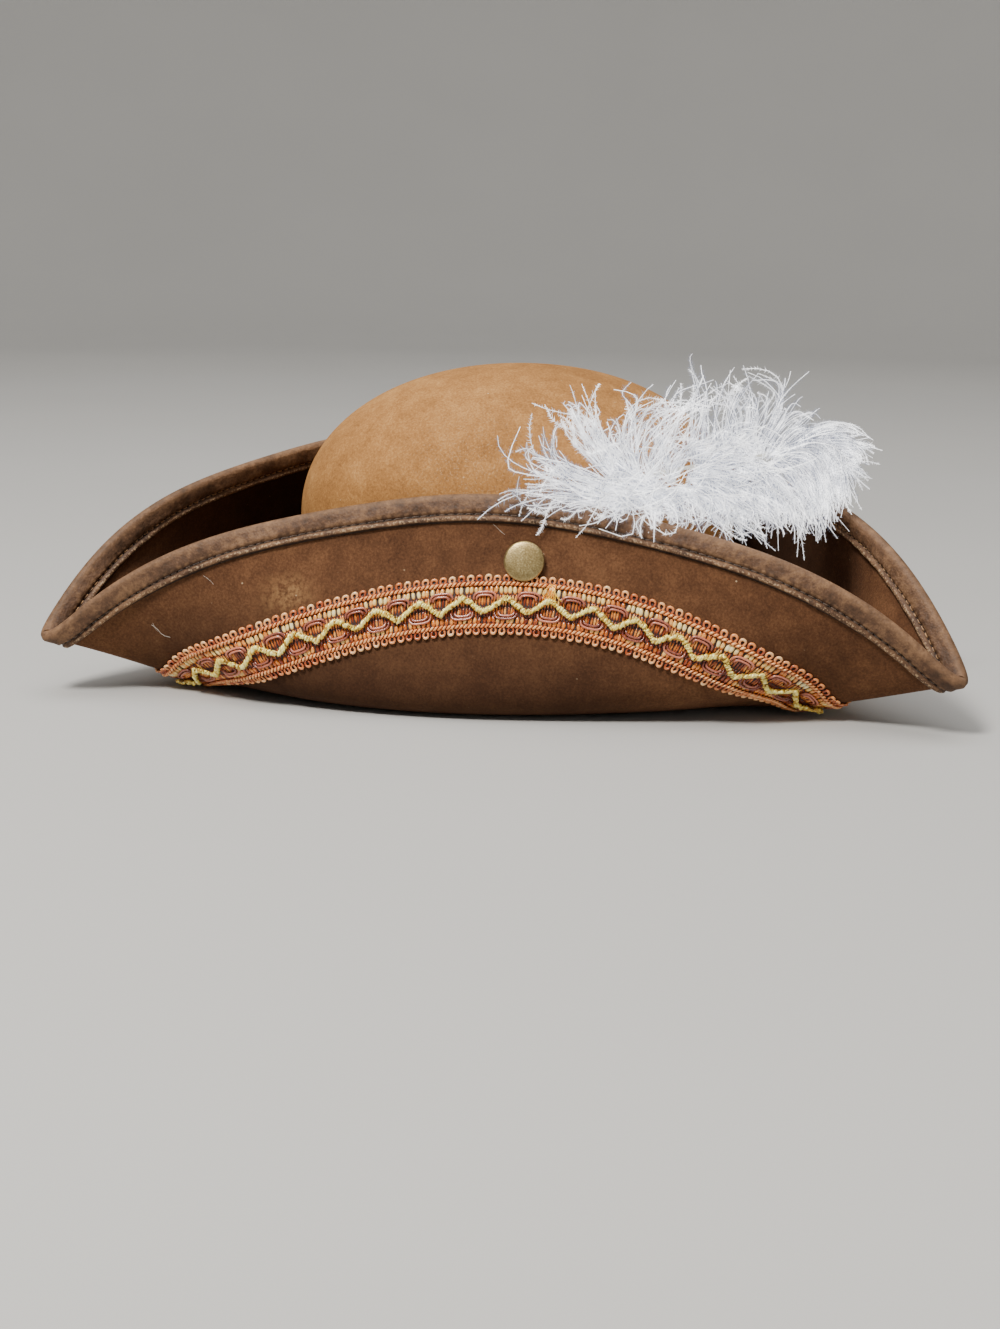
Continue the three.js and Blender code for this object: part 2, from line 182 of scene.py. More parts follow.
FRONT = turned(np.array(0.0), FRONT_REACH, FRONT_HEIGHT)
REAR = turned(np.array(REAR_ANGLE), REAR_REACH, REAR_HEIGHT)
CHORD = unit((REAR - FRONT)[:2])


def sharp_rim(angle):
    """The rim with corners that come to a point"""
    side = folded(angle)
    turn = np.abs(side)
    u = turn / REAR_ANGLE
    bow = np.where(side >= 0, FLAPS["left"]["bow"], FLAPS["right"]["bow"]) * 4 * u * (1 - u)
    inside = np.minimum(u, 1)
    lift = np.where(side >= 0, rise(FLAPS["left"], inside), rise(FLAPS["right"], inside))
    ahead = FRONT + (REAR - FRONT) * u[..., None]
    ahead = ahead + np.stack([-CHORD[1] * bow, CHORD[0] * bow, lift], -1)
    v = (turn - REAR_ANGLE) / (360 - 2 * REAR_ANGLE)
    behind = np.stack([
        REAR[0] * (1 - 2 * v),
        REAR[1] - FLAPS["rear"]["bow"] * 4 * v * (1 - v),
        REAR[2] + rise(FLAPS["rear"], np.clip(v, 0, 1)),
    ], -1)
    point = np.where((turn <= REAR_ANGLE)[..., None], ahead, behind)
    point[..., 0] *= np.where(side < 0, -1, 1)
    return point


def rim(angle):
    """The rim with rounded corners: a weighted mean over a short stretch"""
    shares = np.arange(-12, 13) / 12
    weights = 1 - 0.4 * np.abs(shares)
    rims = [w * sharp_rim(angle + s * CORNER_ROUNDING) for s, w in zip(shares, weights)]
    return sum(rims) / weights.sum()


def cornerness(angle):
    turn = np.abs(folded(angle))
    return np.minimum(1, bell(turn, 0, HORN_SPREAD) + bell(turn, REAR_ANGLE, HORN_SPREAD))


# %% Sections from crown to rim
# Degrees between the net's columns, points in each, and steps of the curve that they are read from
NET_STEP = 0.1
NET_ROWS = 241
CURVE_STEPS = 161


def sections(angle):
    """Under face at each angle: NET_ROWS points evenly spaced from crown to rim, and the whole length"""
    side = folded(angle)
    corner = cornerness(angle)[..., None]
    out = turned(angle, 1.0)
    base = head_radius(angle)[..., None]
    edge = rim(angle)
    outwards = np.stack([CHORD[1] * np.sign(side + 1e-9), np.full(side.shape, -CHORD[0]), 0 * side], -1)
    outwards = np.where((np.abs(side) >= REAR_ANGLE)[..., None], [0.0, 1.0, 0.0], outwards)
    flap, horn = FLAP_SECTION, HORN_SECTION
    lean = math.radians(flap["lean"])
    flap_line = flap["straight"] * (outwards * math.sin(lean) - np.array([0, 0, math.cos(lean)]))
    nearest = np.where(np.abs(side) < REAR_ANGLE / 2, 0, REAR_ANGLE) * np.sign(side + 1e-9)
    lean = math.radians(horn["lean"])
    horn_line = turned(nearest, -horn["straight"] * math.cos(lean), -horn["straight"] * math.sin(lean))
    level = flap["level"] + (horn["level"] - flap["level"]) * corner
    handles = [
        out * (base + FLAT_RING),
        out * (base + level),
        edge + flap_line * (1 - corner) + horn_line * corner,
        edge,
    ]
    t = np.linspace(0, 1, CURVE_STEPS)[:, None, None]
    curve = sum(math.comb(3, k) * t ** k * (1 - t) ** (3 - k) * handles[k][None] for k in range(4))
    curve = np.concatenate([(out * base)[None], curve])
    curve[..., 2] = np.maximum(curve[..., 2], 0)
    lengths = length_along(curve)
    net = np.empty((len(side), NET_ROWS, 3))
    for i in range(len(side)):
        even = np.linspace(0, lengths[-1, i], NET_ROWS)
        for axis in range(3):
            net[i, :, axis] = np.interp(even, lengths[:, i], curve[:, i, axis])
    return net, lengths[-1]


NET_ANGLES = np.arange(0, 360, NET_STEP)
NET, TOTALS = sections(NET_ANGLES)
along = np.roll(NET, -4, axis=0) - np.roll(NET, 4, axis=0)
outward = np.gradient(NET, axis=1)
FACING = unit(np.cross(along, outward))
reach = np.linspace(0, 1, NET_ROWS)[None] * TOTALS[:, None]
FACING[reach <= FLAT_RING] = (0, 0, -1)
print("brim net", NET.shape, "crown to rim in mm", round(TOTALS.min(), 1), "to", round(TOTALS.max(), 1))


# %% Reading the map
def total_at(angle):
    place = (np.asarray(angle, float) % 360) / NET_STEP
    low = np.floor(place).astype(int) % len(TOTALS)
    mix = place - np.floor(place)
    return TOTALS[low] * (1 - mix) + TOTALS[(low + 1) % len(TOTALS)] * mix


def on_brim(angle, distance, lift=0.0):
    """Points on the under face at an angle and a distance from the crown, lifted outwards. Past the
    rim they go on in the wall's own direction."""
    angle, distance, lift = np.broadcast_arrays(
        np.asarray(angle, float), np.asarray(distance, float), np.asarray(lift, float))
    total = total_at(angle)
    share = np.clip(distance / total, 0, 1) * (NET_ROWS - 1)
    row = np.minimum(np.floor(share).astype(int), NET_ROWS - 2)
    place = (angle % 360) / NET_STEP
    column = np.floor(place).astype(int) % len(TOTALS)
    beside = (column + 1) % len(TOTALS)
    a, b = (share - row)[..., None], (place - np.floor(place))[..., None]

    def read(net):
        here = net[column, row] * (1 - a) + net[column, row + 1] * a
        there = net[beside, row] * (1 - a) + net[beside, row + 1] * a
        return here * (1 - b) + there * b

    onwards = unit(NET[column, -1] - NET[column, -5])
    past = np.maximum(distance - total, 0)[..., None]
    point = read(NET) + unit(read(FACING)) * lift[..., None] + onwards * past
    point[..., 2] = np.maximum(point[..., 2], 0)
    return point


def arc_table(distance_of, step=0.25):
    """Angles against length along a line round the brim"""
    angle = np.arange(0, 360 + step / 2, step)
    return angle, length_along(on_brim(angle, distance_of(angle)))


# %% [markdown]
# ## Making meshes
# A ring of felt, leather or braid is a flat grid that is bent round the hat and closed on itself.
# bmesh makes the grid with its UV map, so a pattern can follow the strip afterwards. Threads, loops
# and flues are thin tubes: many at once, joined in one mesh from arrays.

# %% Mesh helpers
def to_scene(points):
    return np.asarray(points) * MM + np.array(CENTRE)


def spun(bm, chain, steps, closed=False):
    """Turn a chain of points once round the upright axis"""
    edges = [bm.edges.new(pair) for pair in zip(chain, chain[1:])]
    if closed:
        edges.append(bm.edges.new((chain[-1], chain[0])))
    bmesh.ops.spin(
        bm, geom=chain + edges, cent=(0, 0, 0), axis=(0, 0, 1), angle=2 * math.pi, steps=steps,
        use_merge=True)


def finished(name, bm, material):
    """Close the seams and poles, turn the faces outwards and hand the piece over"""
    bmesh.ops.remove_doubles(bm, verts=bm.verts, dist=1e-7)
    bmesh.ops.recalc_face_normals(bm, faces=bm.faces)
    mesh = bpy.data.meshes.new(name)
    bm.to_mesh(mesh)
    bm.free()
    return placed(name, mesh, material)


def placed(name, mesh, material, smooth=True):
    mesh.materials.append(material)
    if smooth:
        mesh.shade_smooth()
    piece = bpy.data.objects.new(name, mesh)
    bpy.context.scene.collection.objects.link(piece)
    triangles = len(mesh.loops) - 2 * len(mesh.polygons)
    print(name, len(mesh.vertices), "points", triangles, "triangles")
    return piece


def bent_ring(name, outline, along, material, depths=None):
    """A closed strip: outline[i, j] is point j of the closed outline at column i, and along[i] how far
    round the hat it is. The UV map has that as u, and the millimetres across as v. depths[j] is kept on
    the points, for a material that changes across the strip."""
    columns, rows = outline.shape[:2]
    bm = bmesh.new()
    uv = bm.loops.layers.uv.new("strip")
    bmesh.ops.create_grid(bm, x_segments=columns, y_segments=rows, size=0.5)
    points = to_scene(outline)
    across = length_along(np.concatenate([outline, outline[:, :1]], axis=1), axis=1)
    cell = {}
    depth = bm.verts.layers.float.new("depth")
    for vert in bm.verts:
        i = round((vert.co.x + 0.5) * columns)
        j = round((vert.co.y + 0.5) * rows)
        cell[vert] = (i, j)
        vert[depth] = 0 if depths is None else depths[j % rows]
        vert.co = points[i % columns, j % rows]
    for face in bm.faces:
        for loop in face.loops:
            i, j = cell[loop.vert]
            loop[uv].uv = (along[i], across[i % columns, j])
    return finished(name, bm, material)


def tubes(paths, radii, sides, closed=False):
    """Points and faces of many tubes at once. paths is (tubes, steps, 3), and radii one number or any
    array that spreads over (tubes, steps). Open tubes get a face over each end."""
    count, steps = paths.shape[:2]
    if closed:
        tangent = np.roll(paths, -1, axis=1) - np.roll(paths, 1, axis=1)
    else:
        tangent = np.gradient(paths, axis=1)
    tangent = unit(tangent)
    side = unit(np.cross(tangent, (0.0, 0.0, 1.0)))
    other = np.cross(side, tangent)
    turn = 2 * np.pi * np.arange(sides) / sides
    ring = side[:, :, None] * np.cos(turn)[:, None] + other[:, :, None] * np.sin(turn)[:, None]
    points = paths[:, :, None] + ring * np.broadcast_to(radii, (count, steps))[:, :, None, None]
    base = np.arange(count)[:, None, None] * steps * sides
    i = np.arange(steps if closed else steps - 1)[None, :, None]
    j = np.arange(sides)[None, None, :]
    k = (j + 1) % sides
    here, there = base + i * sides, base + (i + 1) % steps * sides
    quads = np.stack([here + j, there + j, there + k, here + k], -1)
    faces = [quads.reshape(-1, 4)]
    if not closed:
        first = base[:, 0] + np.arange(sides)
        faces += [first, first[:, ::-1] + (steps - 1) * sides]
    return points.reshape(-1, 3), faces


def joined(name, parts, material, tint=None, smooth=True):
    """One mesh from several sets of points and faces, with an optional shade per point"""
    points, faces, start = [], [], 0
    for part_points, part_faces in parts:
        points.append(part_points)
        for batch in part_faces:
            faces += (batch + start).tolist()
        start += len(part_points)
    mesh = bpy.data.meshes.new(name)
    mesh.from_pydata(to_scene(np.concatenate(points)), [], faces)
    if tint is not None:
        shade = mesh.attributes.new("tint", "FLOAT", "POINT")
        shade.data.foreach_set("value", np.asarray(tint, np.float32))
    return placed(name, mesh, material, smooth)


# %% [markdown]
# ## Materials as arithmetic
# A shader is a sum of masks, noises and ramps. Written as Python expressions it reads like one: a
# small class wraps a socket, and each operator on it adds the Math node that does the sum.

# %% Shader values
class Value:
    """A number, colour or vector that varies over a surface"""

    def __init__(self, tree, socket):
        self.tree, self.socket = tree, socket

    def node(self, kind, settings=None, inputs=None, output=0):
        made = self.tree.nodes.new(kind)
        for name, setting in (settings or {}).items():
            if name == "stops":
                ramp = made.color_ramp
                while len(ramp.elements) < len(setting):
                    ramp.elements.new(0.5)
                for element, (place, colour) in zip(ramp.elements, setting):
                    element.position = place
                    element.color = (*colour, 1)
            else:
                setattr(made, name, setting)
        for name, value in (inputs or {}).items():
            if isinstance(value, Value):
                self.tree.links.new(value.socket, made.inputs[name])
            else:
                made.inputs[name].default_value = value
        return Value(self.tree, made.outputs[output])

    def maths(self, operation, a, b=0.0):
        return self.node("ShaderNodeMath", {"operation": operation}, {0: a, 1: b})

    def __add__(self, other):
        return self.maths("ADD", self, other)

    def __sub__(self, other):
        return self.maths("SUBTRACT", self, other)

    def __rsub__(self, other):
        return self.maths("SUBTRACT", other, self)

    def __mul__(self, other):
        return self.maths("MULTIPLY", self, other)

    __radd__ = __add__
    __rmul__ = __mul__


def srgb(red, green, blue):
    """A colour as seen on a screen, 0 to 255, as the linear values that shaders use"""
    def linear(c):
        c = c / 255
        return c / 12.92 if c <= 0.04045 else ((c + 0.055) / 1.055) ** 2.4
    return linear(red), linear(green), linear(blue)


def new_material(name, **constants):
    """A Principled material, and a Value to start expressions from: its Object coordinates"""
    material = bpy.data.materials.new(name)
    material.use_nodes = True
    tree = material.node_tree
    shader = tree.nodes["Principled BSDF"]
    for key, value in constants.items():
        shader.inputs[key.replace("_", " ")].default_value = value
    start = Value(tree, None)
    place = start.node("ShaderNodeTexCoord", output="Object")
    return material, shader, place


def feed(shader, socket, value):
    value.tree.links.new(value.socket, shader.inputs[socket])


def noise(place, scale, detail=2.0, roughness=0.5, distortion=0.0):
    return place.node("ShaderNodeTexNoise", {"noise_dimensions": "3D"}, {
        "Vector": place, "Scale": scale, "Detail": detail, "Roughness": roughness,
        "Distortion": distortion})


def cells(place, scale):
    """The distance to the nearest of many scattered points"""
    return place.node(
        "ShaderNodeTexVoronoi", {"feature": "F1"}, {"Vector": place, "Scale": scale}, "Distance")


def part_of(vector, axis):
    return vector.node("ShaderNodeSeparateXYZ", None, {0: vector}, axis)


def attribute(place, name):
    """A number that is kept on the piece's own points"""
    return place.node("ShaderNodeAttribute", {"attribute_name": name}, None, "Fac")


def ramp(value, low, high):
    """0 below low, 1 above high, smooth in between"""
    return value.node("ShaderNodeMapRange", {"interpolation_type": "SMOOTHSTEP"}, {
        "Value": value, "From Min": low, "From Max": high})


def between(value, low, high, soft):
    """1 where a value lies between two limits"""
    return ramp(value, low - soft, low + soft) * (1 - ramp(value, high - soft, high + soft))


def colours(tone, *stops):
    """A colour for each tone, through stops of (tone, colour on a screen)"""
    return tone.node(
        "ShaderNodeValToRGB", {"stops": [(at, srgb(*colour)) for at, colour in stops]}, {0: tone})


def blend(mask, first, second):
    """A colour between two colours"""
    def full(colour):
        return colour if isinstance(colour, Value) else (*colour, 1)

    return mask.node("ShaderNodeMix", {"data_type": "RGBA"}, {
        0: mask, 6: full(first), 7: full(second)}, 2)


def bump(height, distance, strength=1.0):
    return height.node("ShaderNodeBump", None, {
        "Height": height, "Distance": distance, "Strength": strength}, "Normal")


# %% [markdown]
# ## Felt
# Wool felt has no weave. Its surface is a short nap that lies in soft patches, so its colour shifts
# a little over a few centimetres, with grain of about a millimetre. Wear adds to that: pale specks of
# dust and a rubbed patch on the flap. Shade is painted in too: the crown is painted a little darker
# below its top, and the brim is painted darker low under the braid and inside near the crown.

# %% Felt
# Places in millimetres from the middle of the head oval
RUBBED = ((50.5, -127.0, 47.0), (55.5, -121.5, 50.0))
DUSTED = (65.8, -46.1, 102.7)
# Middles of the painted shade low on the flap and of the painted shade inside the brim
LOW_SHADE_SPOT = (0, -45, 15)
INSIDE_SHADE_SPOT = (0, 0, 60)
DUST_COLOUR = srgb(218, 194, 156)


def near(place, spot, radius, soft):
    """1 round a point given in millimetres, 0 farther out than radius and soft edge together"""
    gap = place.node("ShaderNodeVectorMath", {"operation": "DISTANCE"}, {
        0: place, 1: tuple(to_scene(spot))}, "Value")
    return 1 - ramp(gap, radius * MM, (radius + soft) * MM)


def specks(place, scale, size, patchy, share):
    """Small round specks, in the patches where a noise is above a share"""
    dots = 1 - ramp(cells(place, scale), 0.4 * size, size)
    return dots * ramp(noise(place, patchy, 1), share, share + 0.08)


def felt_material(name, dark, middle, light):
    """Felt in three tones. It comes back unfinished, with its colour so far, for wear and painted shade
    to be added
    """
    material, shader, place = new_material(
        name, Roughness=0.92, Sheen_Weight=0.12, Sheen_Tint=(*srgb(*light), 1), Specular_IOR_Level=0.15)
    patches = noise(place, 17, 3, 0.55, 0.4)
    brushed = noise(place, 120, 4, 0.65, 0.3)
    grain = noise(place, 1000, 3, 0.7)
    tone = patches * 0.3 + brushed * 0.28 + grain * 0.42
    colour = colours(tone, (0.36, dark), (0.5, middle), (0.64, light))
    colour = blend(specks(place, 230.0, 0.12, 140, 0.62) * 0.55, colour, DUST_COLOUR)
    height = patches * 0.8 + brushed * 0.5 + grain * 0.45
    feed(shader, "Normal", bump(height, 0.0006, 0.8))
    feed(shader, "Roughness", 0.84 + grain * 0.14)
    return material, shader, place, colour


crown_felt, shader, place, colour = felt_material(
    "crown_felt", (124, 83, 44), (158, 111, 62), (188, 140, 84))
# Painted shade: the crown is blended a little darker below its top, as if lit from above
lit_top = ramp(part_of(place, "Z") + noise(place, 12, 2) * 0.05, 0.095, 0.165)
colour = blend((1 - lit_top) * 0.06, colour, srgb(96, 62, 35))
dusted = near(place, DUSTED, 6, 44) * ramp(noise(place, 1150, 2, 0.8), 0.55, 0.65)
feed(shader, "Base Color", blend(dusted * 0.18, colour, DUST_COLOUR))

brim_felt, shader, place, colour = felt_material(
    "brim_felt", (64, 40, 25), (90, 59, 38), (116, 80, 53))
rubbed = near(place, RUBBED[0], 0, 14) + near(place, RUBBED[1], 0, 12)
rubbed = rubbed * ramp(noise(place, 380, 3, 0.7), 0.36, 0.66)
colour = blend(rubbed * 0.55, colour, srgb(156, 118, 78))
# Painted shade: the brim is painted darker low down, round the middle of the near flap under the braid
low_shade = 1 - ramp(part_of(place, "Z") + noise(place, 14, 2) * 0.03, 0.03, 0.08)
colour = blend(low_shade * near(place, LOW_SHADE_SPOT, 112, 40) * 0.64, colour, srgb(34, 18, 10))
# Painted shade on the inner face of the brim, near the crown
inside_shade = attribute(place, "depth") * near(place, INSIDE_SHADE_SPOT, 125, 60)
feed(shader, "Base Color", blend(inside_shade * 0.7, colour, srgb(30, 17, 10)))
print("felt materials", crown_felt.name, brim_felt.name)

# %% [markdown]
# ## Crown
# The crown is blocked: steamed felt pulled over a wooden form, so it is one dome without seams. Half a
# profile is spun round the axis and each level is then stretched to the head oval. The profile runs
# up the outside and back down the inside, which gives the felt its thickness with no modifier.

# %% Crown
CROWN_STEPS = 168


def crown_profile(inset, shares):
    """Rows of (share of the oval, height, inset). Shares to 1 go up the side, and to 2 over the dome"""
    side, power = CROWN["side"], 2 / CROWN["power"]
    foot = FELT + GAP
    rows = []
    for share in shares:
        swing = max(share - 1, 0) * math.pi / 2
        z = foot + (side - foot) * share
        if share > 1:
            z = side + (CROWN["height"] - inset - side) * math.sin(swing) ** power
        rows.append((max(math.cos(swing), 0) ** power, z, inset))
    return rows


def build_crown():
    up = crown_profile(0, np.concatenate([np.linspace(0, 1, 16)[:-1], np.linspace(1, 2, 44)]))
    down = crown_profile(FELT, np.concatenate([np.linspace(2, 1, 36), np.linspace(1, 0, 12)[1:]]))
    bm = bmesh.new()
    inset_layer = bm.verts.layers.float.new("inset")
    chain = []
    for scale, z, inset in up + down:
        vert = bm.verts.new((scale, 0, z))
        vert[inset_layer] = inset
        chain.append(vert)
    spun(bm, chain, CROWN_STEPS, closed=True)
    for vert in bm.verts:
        x, y, z = vert.co
        lean = CROWN["taper"] * min(z / CROWN["side"], 1) + vert[inset_layer]
        vert.co = Vector((x * (HEAD_HALF_WIDTH - lean), y * (HEAD_HALF_LENGTH - lean), z)) * MM + CENTRE
    return finished("crown_felt_dome", bm, crown_felt)


crown = build_crown()

# %% [markdown]
# ## Brim
# The brim is one flat piece of the same felt, steamed and turned up on three sides. Its outline at
# every angle goes down the collar inside the crown, out under the brim to the rim and back on top.

# %% Brim
COLUMNS = 540
OUTER_ROWS, INNER_ROWS = 43, 30
COLUMN_ANGLES = np.arange(COLUMNS) * 360 / COLUMNS


def braid_middle(angle):
    return BRAID["ring"] - head_radius(angle)


def brim_outline(angle):
    outer = FELT + COLLAR["gap"]
    inner = outer + FELT
    total = total_at(angle)
    bend, height = COLLAR["bend"], COLLAR["height"]
    rows = []

    def ring(inset, z):
        lean = CROWN["taper"] * z / CROWN["side"]
        rows.append(turned(angle, head_radius(angle, inset + lean), z))

    for inset in (outer, outer + 0.5 * FELT, inner):
        ring(inset, height)
    for z in (9, 6):
        ring(inner, z)
    for turn in np.radians(np.linspace(0, 90, 6)):
        ring(inner - bend * (1 - math.cos(turn)), bend * (1 - math.sin(turn)))
    for share in np.linspace(0, 1, OUTER_ROWS):
        rows.append(on_brim(angle, share * total))
    for share in np.linspace(1, 0, INNER_ROWS):
        rows.append(on_brim(angle, FLAT_RING * (1 - share) + share * total, -FELT))
    ring(outer, FELT)
    return np.stack(rows, 1)


def build_brim():
    """No pattern runs round the felt, so an even scale does. The depth is 0 outside and 1 inside"""
    outline = brim_outline(COLUMN_ANGLES)
    along = np.linspace(0, 1, COLUMNS + 1) * 1000
    inner_rows = INNER_ROWS + 1
    depths = [0.0] * (outline.shape[1] - inner_rows) + [1.0] * inner_rows
    return bent_ring("brim_felt_wall", outline, along, brim_felt, depths)


brim = build_brim()

# %% [markdown]
# ## Binding
# The raw rim is covered with a smooth strip, folded over it and sewn through. The thread pulls a groove
# into both legs, and below it the strip's cut edge stands up as a small lip. Its section is drawn from
# a table and swept round the rim, so groove, lip and puckers are real shape and catch the light.

# %% Binding
BINDING_COLUMNS = 1400
STITCH_LENGTH = 3.8
STITCH_DEPTH, SHOULDER_DEPTH = 6.2, 4.8
PUCKER = 0.4
CUT_BACK = 0.3
MITRE_WIDTH = 0.25
# Rows of (depth below the rim, relief) down one leg to its cut edge
LEG = [
    (2.2, 0.05), (3.0, 0.2), (3.8, 0.26), (4.5, 0.3), (5.1, 0.2), (5.6, -0.2), (6.2, -0.8), (6.7, -0.35),
    (7.2, 0.25), (7.9, 0.55), (8.6, 0.5), (9.1, 0.1), (9.3, -0.45), (9.25, -1.0),
]
TOP_TURNS = np.radians(np.linspace(72, -72, 9))


def pucker(along, depth):
    """Where the thread goes down, the strip is pulled in round the hole"""
    wave = 0.5 + 0.5 * np.cos(2 * np.pi * along / STITCH_PITCH)
    return -PUCKER * wave * (bell(depth, STITCH_DEPTH, 1) + 0.5 * bell(depth, SHOULDER_DEPTH, 0.9))


def unevenness(along, depth):
    slow = 0.12 * np.sin(along / 7.3 + depth) + 0.1 * np.sin(along / 3.1 - 0.6 * depth + 1.3)
    return slow + 0.05 * np.sin(along / 1.3 + 1.1 * depth)


def crease(angle):
    """The mitre fold where the strip turns a corner"""
    turn = np.abs(folded(angle))
    return -0.5 * (bell(turn, 0, MITRE_WIDTH) + bell(turn, REAR_ANGLE, MITRE_WIDTH))


def binding_outline(angle, along):
    room = GAP + BINDING["tip_room"] * cornerness(angle) ** 20
    inner = FELT / 2 + room
    outer = inner + BINDING["thickness"]
    middle = -FELT / 2
    total = total_at(angle)

    def leg(side):
        return [
            on_brim(angle, total - depth, middle + side * (
                outer + relief + pucker(along, depth) + unevenness(along, depth + side) + crease(angle)))
            for depth, relief in LEG
        ]

    top = [
        on_brim(angle, total + outer * math.cos(turn), middle + (outer + crease(angle)) * math.sin(turn))
        for turn in TOP_TURNS
    ]
    hem = total - BINDING["width"] + CUT_BACK
    hidden = [
        on_brim(angle, distance, middle + side * inner)
        for side, distance in ((-1, hem), (-1, total + room), (1, total + room), (1, hem))
    ]
    return np.stack(leg(1)[::-1] + top + leg(-1) + hidden, 1)


def binding_depths():
    """The depth below the rim of each point of the outline"""
    leg = [depth for depth, _ in LEG]
    return leg[::-1] + [0.0] * len(TOP_TURNS) + leg + [BINDING["width"]] * 4


rim_angle, rim_length = arc_table(total_at)
STITCHES = round(rim_length[-1] / STITCH_LENGTH)
STITCH_PITCH = rim_length[-1] / STITCHES
binding_along = np.arange(BINDING_COLUMNS + 1) / BINDING_COLUMNS * rim_length[-1]
binding_angle = np.interp(binding_along[:-1], rim_length, rim_angle)


def leather_material():
    """Cloudy, worn tone, with painted highlights on the rounded top, the puckers and the lip, painted
    shade in the sewn groove and a painted shadow at the cut edge
    """
    material, shader, place = new_material("binding_leather", Roughness=0.6, Specular_IOR_Level=0.3)
    cloudy = noise(place, 26, 3, 0.55, 0.5)
    wear_and_glint = noise(place, 240, 4, 0.75)
    grain = cells(place, 900.0)
    tone = cloudy * 0.45 + wear_and_glint * 0.55
    colour = colours(tone, (0.36, (52, 35, 22)), (0.5, (86, 60, 41)), (0.64, (126, 94, 66)))
    depth = attribute(place, "depth")
    along = part_of(place.node("ShaderNodeUVMap", {"uv_map": "strip"}), "X")
    drawn = ramp(along.maths("COSINE", along * (2 * math.pi / STITCH_PITCH)), -0.5, 0.5)
    glints = ramp(noise(place, 900, 2, 0.8), 0.52, 0.6)
    # Painted highlight on the rounded top, broken up by the wear noise
    colour = blend((1 - ramp(depth, 0.0, 1.4)) * wear_and_glint * 0.5, colour, srgb(152, 116, 84))
    # Painted highlights on the puckers above the groove, between the holes
    colour = blend(between(depth, 4.4, 5.4, 0.3) * (1 - drawn) * wear_and_glint * 0.5, colour, srgb(150, 114, 80))
    # Painted shade in the sewn groove, deepest at the holes
    colour = blend(between(depth, 5.8, 6.6, 0.25) * (drawn * 0.3 + 0.6), colour, srgb(30, 18, 11))
    # Painted glints on the lip
    colour = blend(between(depth, 7.3, 8.8, 0.3) * glints * 0.5, colour, srgb(196, 166, 128))
    # Painted shadow under the lip, at the cut edge
    feed(shader, "Base Color", blend(ramp(depth, 8.9, 9.2) * 0.8, colour, srgb(28, 17, 11)))
    feed(shader, "Roughness", 0.5 + wear_and_glint * 0.3)
    feed(shader, "Normal", bump(wear_and_glint * 0.8 + grain * 0.35, 0.0005, 0.9))
    return material


binding = bent_ring(
    "binding_strip", binding_outline(binding_angle, binding_along[:-1]), binding_along,
    leather_material(), binding_depths())

# %% [markdown]
# ## Stitches
# The sewing thread lies in the groove in short lengths between its holes. Each stitch is a thin tube
# whose ends dive into the strip.

# %% Stitches
# Share of its length that a stitch takes up, its radius, and how far under the strip's face it lies
STITCH = dict(share=0.7, radius=0.3, sunk=0.55)


def thread_material(name, colour, shade):
    material, shader, place = new_material(name, Roughness=0.55, Sheen_Weight=0.3)
    tone = noise(place, 900, 2)
    feed(shader, "Base Color", blend(ramp(tone, 0.35, 0.65), shade, colour))
    twist = place.node("ShaderNodeTexWave", {"bands_direction": "DIAGONAL"}, {
        "Vector": place, "Scale": 900.0, "Distortion": 1.0})
    feed(shader, "Normal", bump(twist, 0.0001, 0.5))
    return material


def running_stitches(distance_of, lengths, angles, count, share, lift_of, radius):
    """Short tubes in a row round the brim: each takes up a share of its length, its ends sunk in"""
    steps = np.linspace(-0.5, 0.5, 7)[None]
    along = (np.arange(count)[:, None] + 0.5 + share * steps) * lengths[-1] / count
    angle = np.interp(along % lengths[-1], lengths, angles)
    sunk = 6 * np.abs(steps) ** 3 + 0 * along
    return tubes(on_brim(angle, distance_of(angle), lift_of(sunk)), radius, 5)


def build_stitches(name, side, thread):
    face = FELT / 2 + GAP + BINDING["thickness"] - STITCH["sunk"]
    row = running_stitches(
        lambda angle: total_at(angle) - STITCH_DEPTH, rim_length, rim_angle, STITCHES, STITCH["share"],
        lambda sunk: side * (face - sunk) - FELT / 2, STITCH["radius"])
    return joined(name, [row], thread)


outer_stitches = build_stitches(
    "binding_outer_stitches", 1, thread_material("dark_thread", srgb(92, 68, 48), srgb(52, 37, 26)))
inner_stitches = build_stitches(
    "binding_inner_stitches", -1, thread_material("tan_thread", srgb(178, 134, 86), srgb(120, 86, 54)))

# %% [markdown]
# ## Braid
# The trim is a one-inch gimp braid. Satin thread is wound across a dark ground, with a cord twisted
# along each side, a row of small loops past it, pairs of cords bent into low arches, and a crinkled
# metallic cord that zigzags over them all. Each kind of thread is its own mesh of tubes. They are laid
# out on a flat plan, along and across the band, and the plan is then bent onto the brim.

# %% Braid plan
band_angle, band_length = arc_table(braid_middle)
BAND = band_length[-1]
PICOTS = round(BAND / 3.7)
PERIODS = round(BAND / 18.2)
PICOT_PITCH = BAND / PICOTS
PERIOD = BAND / PERIODS
# Sides of the tubes, few because there are thousands of them
SIDES = dict(fine=4, looped=5, round=6)
# One peak of the zigzag, in millimetres from the middle of the head oval
PEAK_SPOT = (107.1, -26.7, 52.2)
print("braid", round(BAND), "mm round,", PICOTS, "loops a side,", PERIODS, "arches a side")


def on_band(plan):
    """Plan points (along, across from the outer edge, height over the felt) put onto the brim"""
    along, across, height = plan[..., 0], plan[..., 1], plan[..., 2]
    angle = np.interp(along % BAND, band_length, band_angle)
    distance = braid_middle(angle) + BRAID["width"] / 2 - across
    return on_brim(angle, distance, height)


def laid(points, faces):
    """Plan points put onto the brim. The plan is mirrored there, so each face is turned round"""
    return on_band(points), [batch[:, ::-1] for batch in faces]


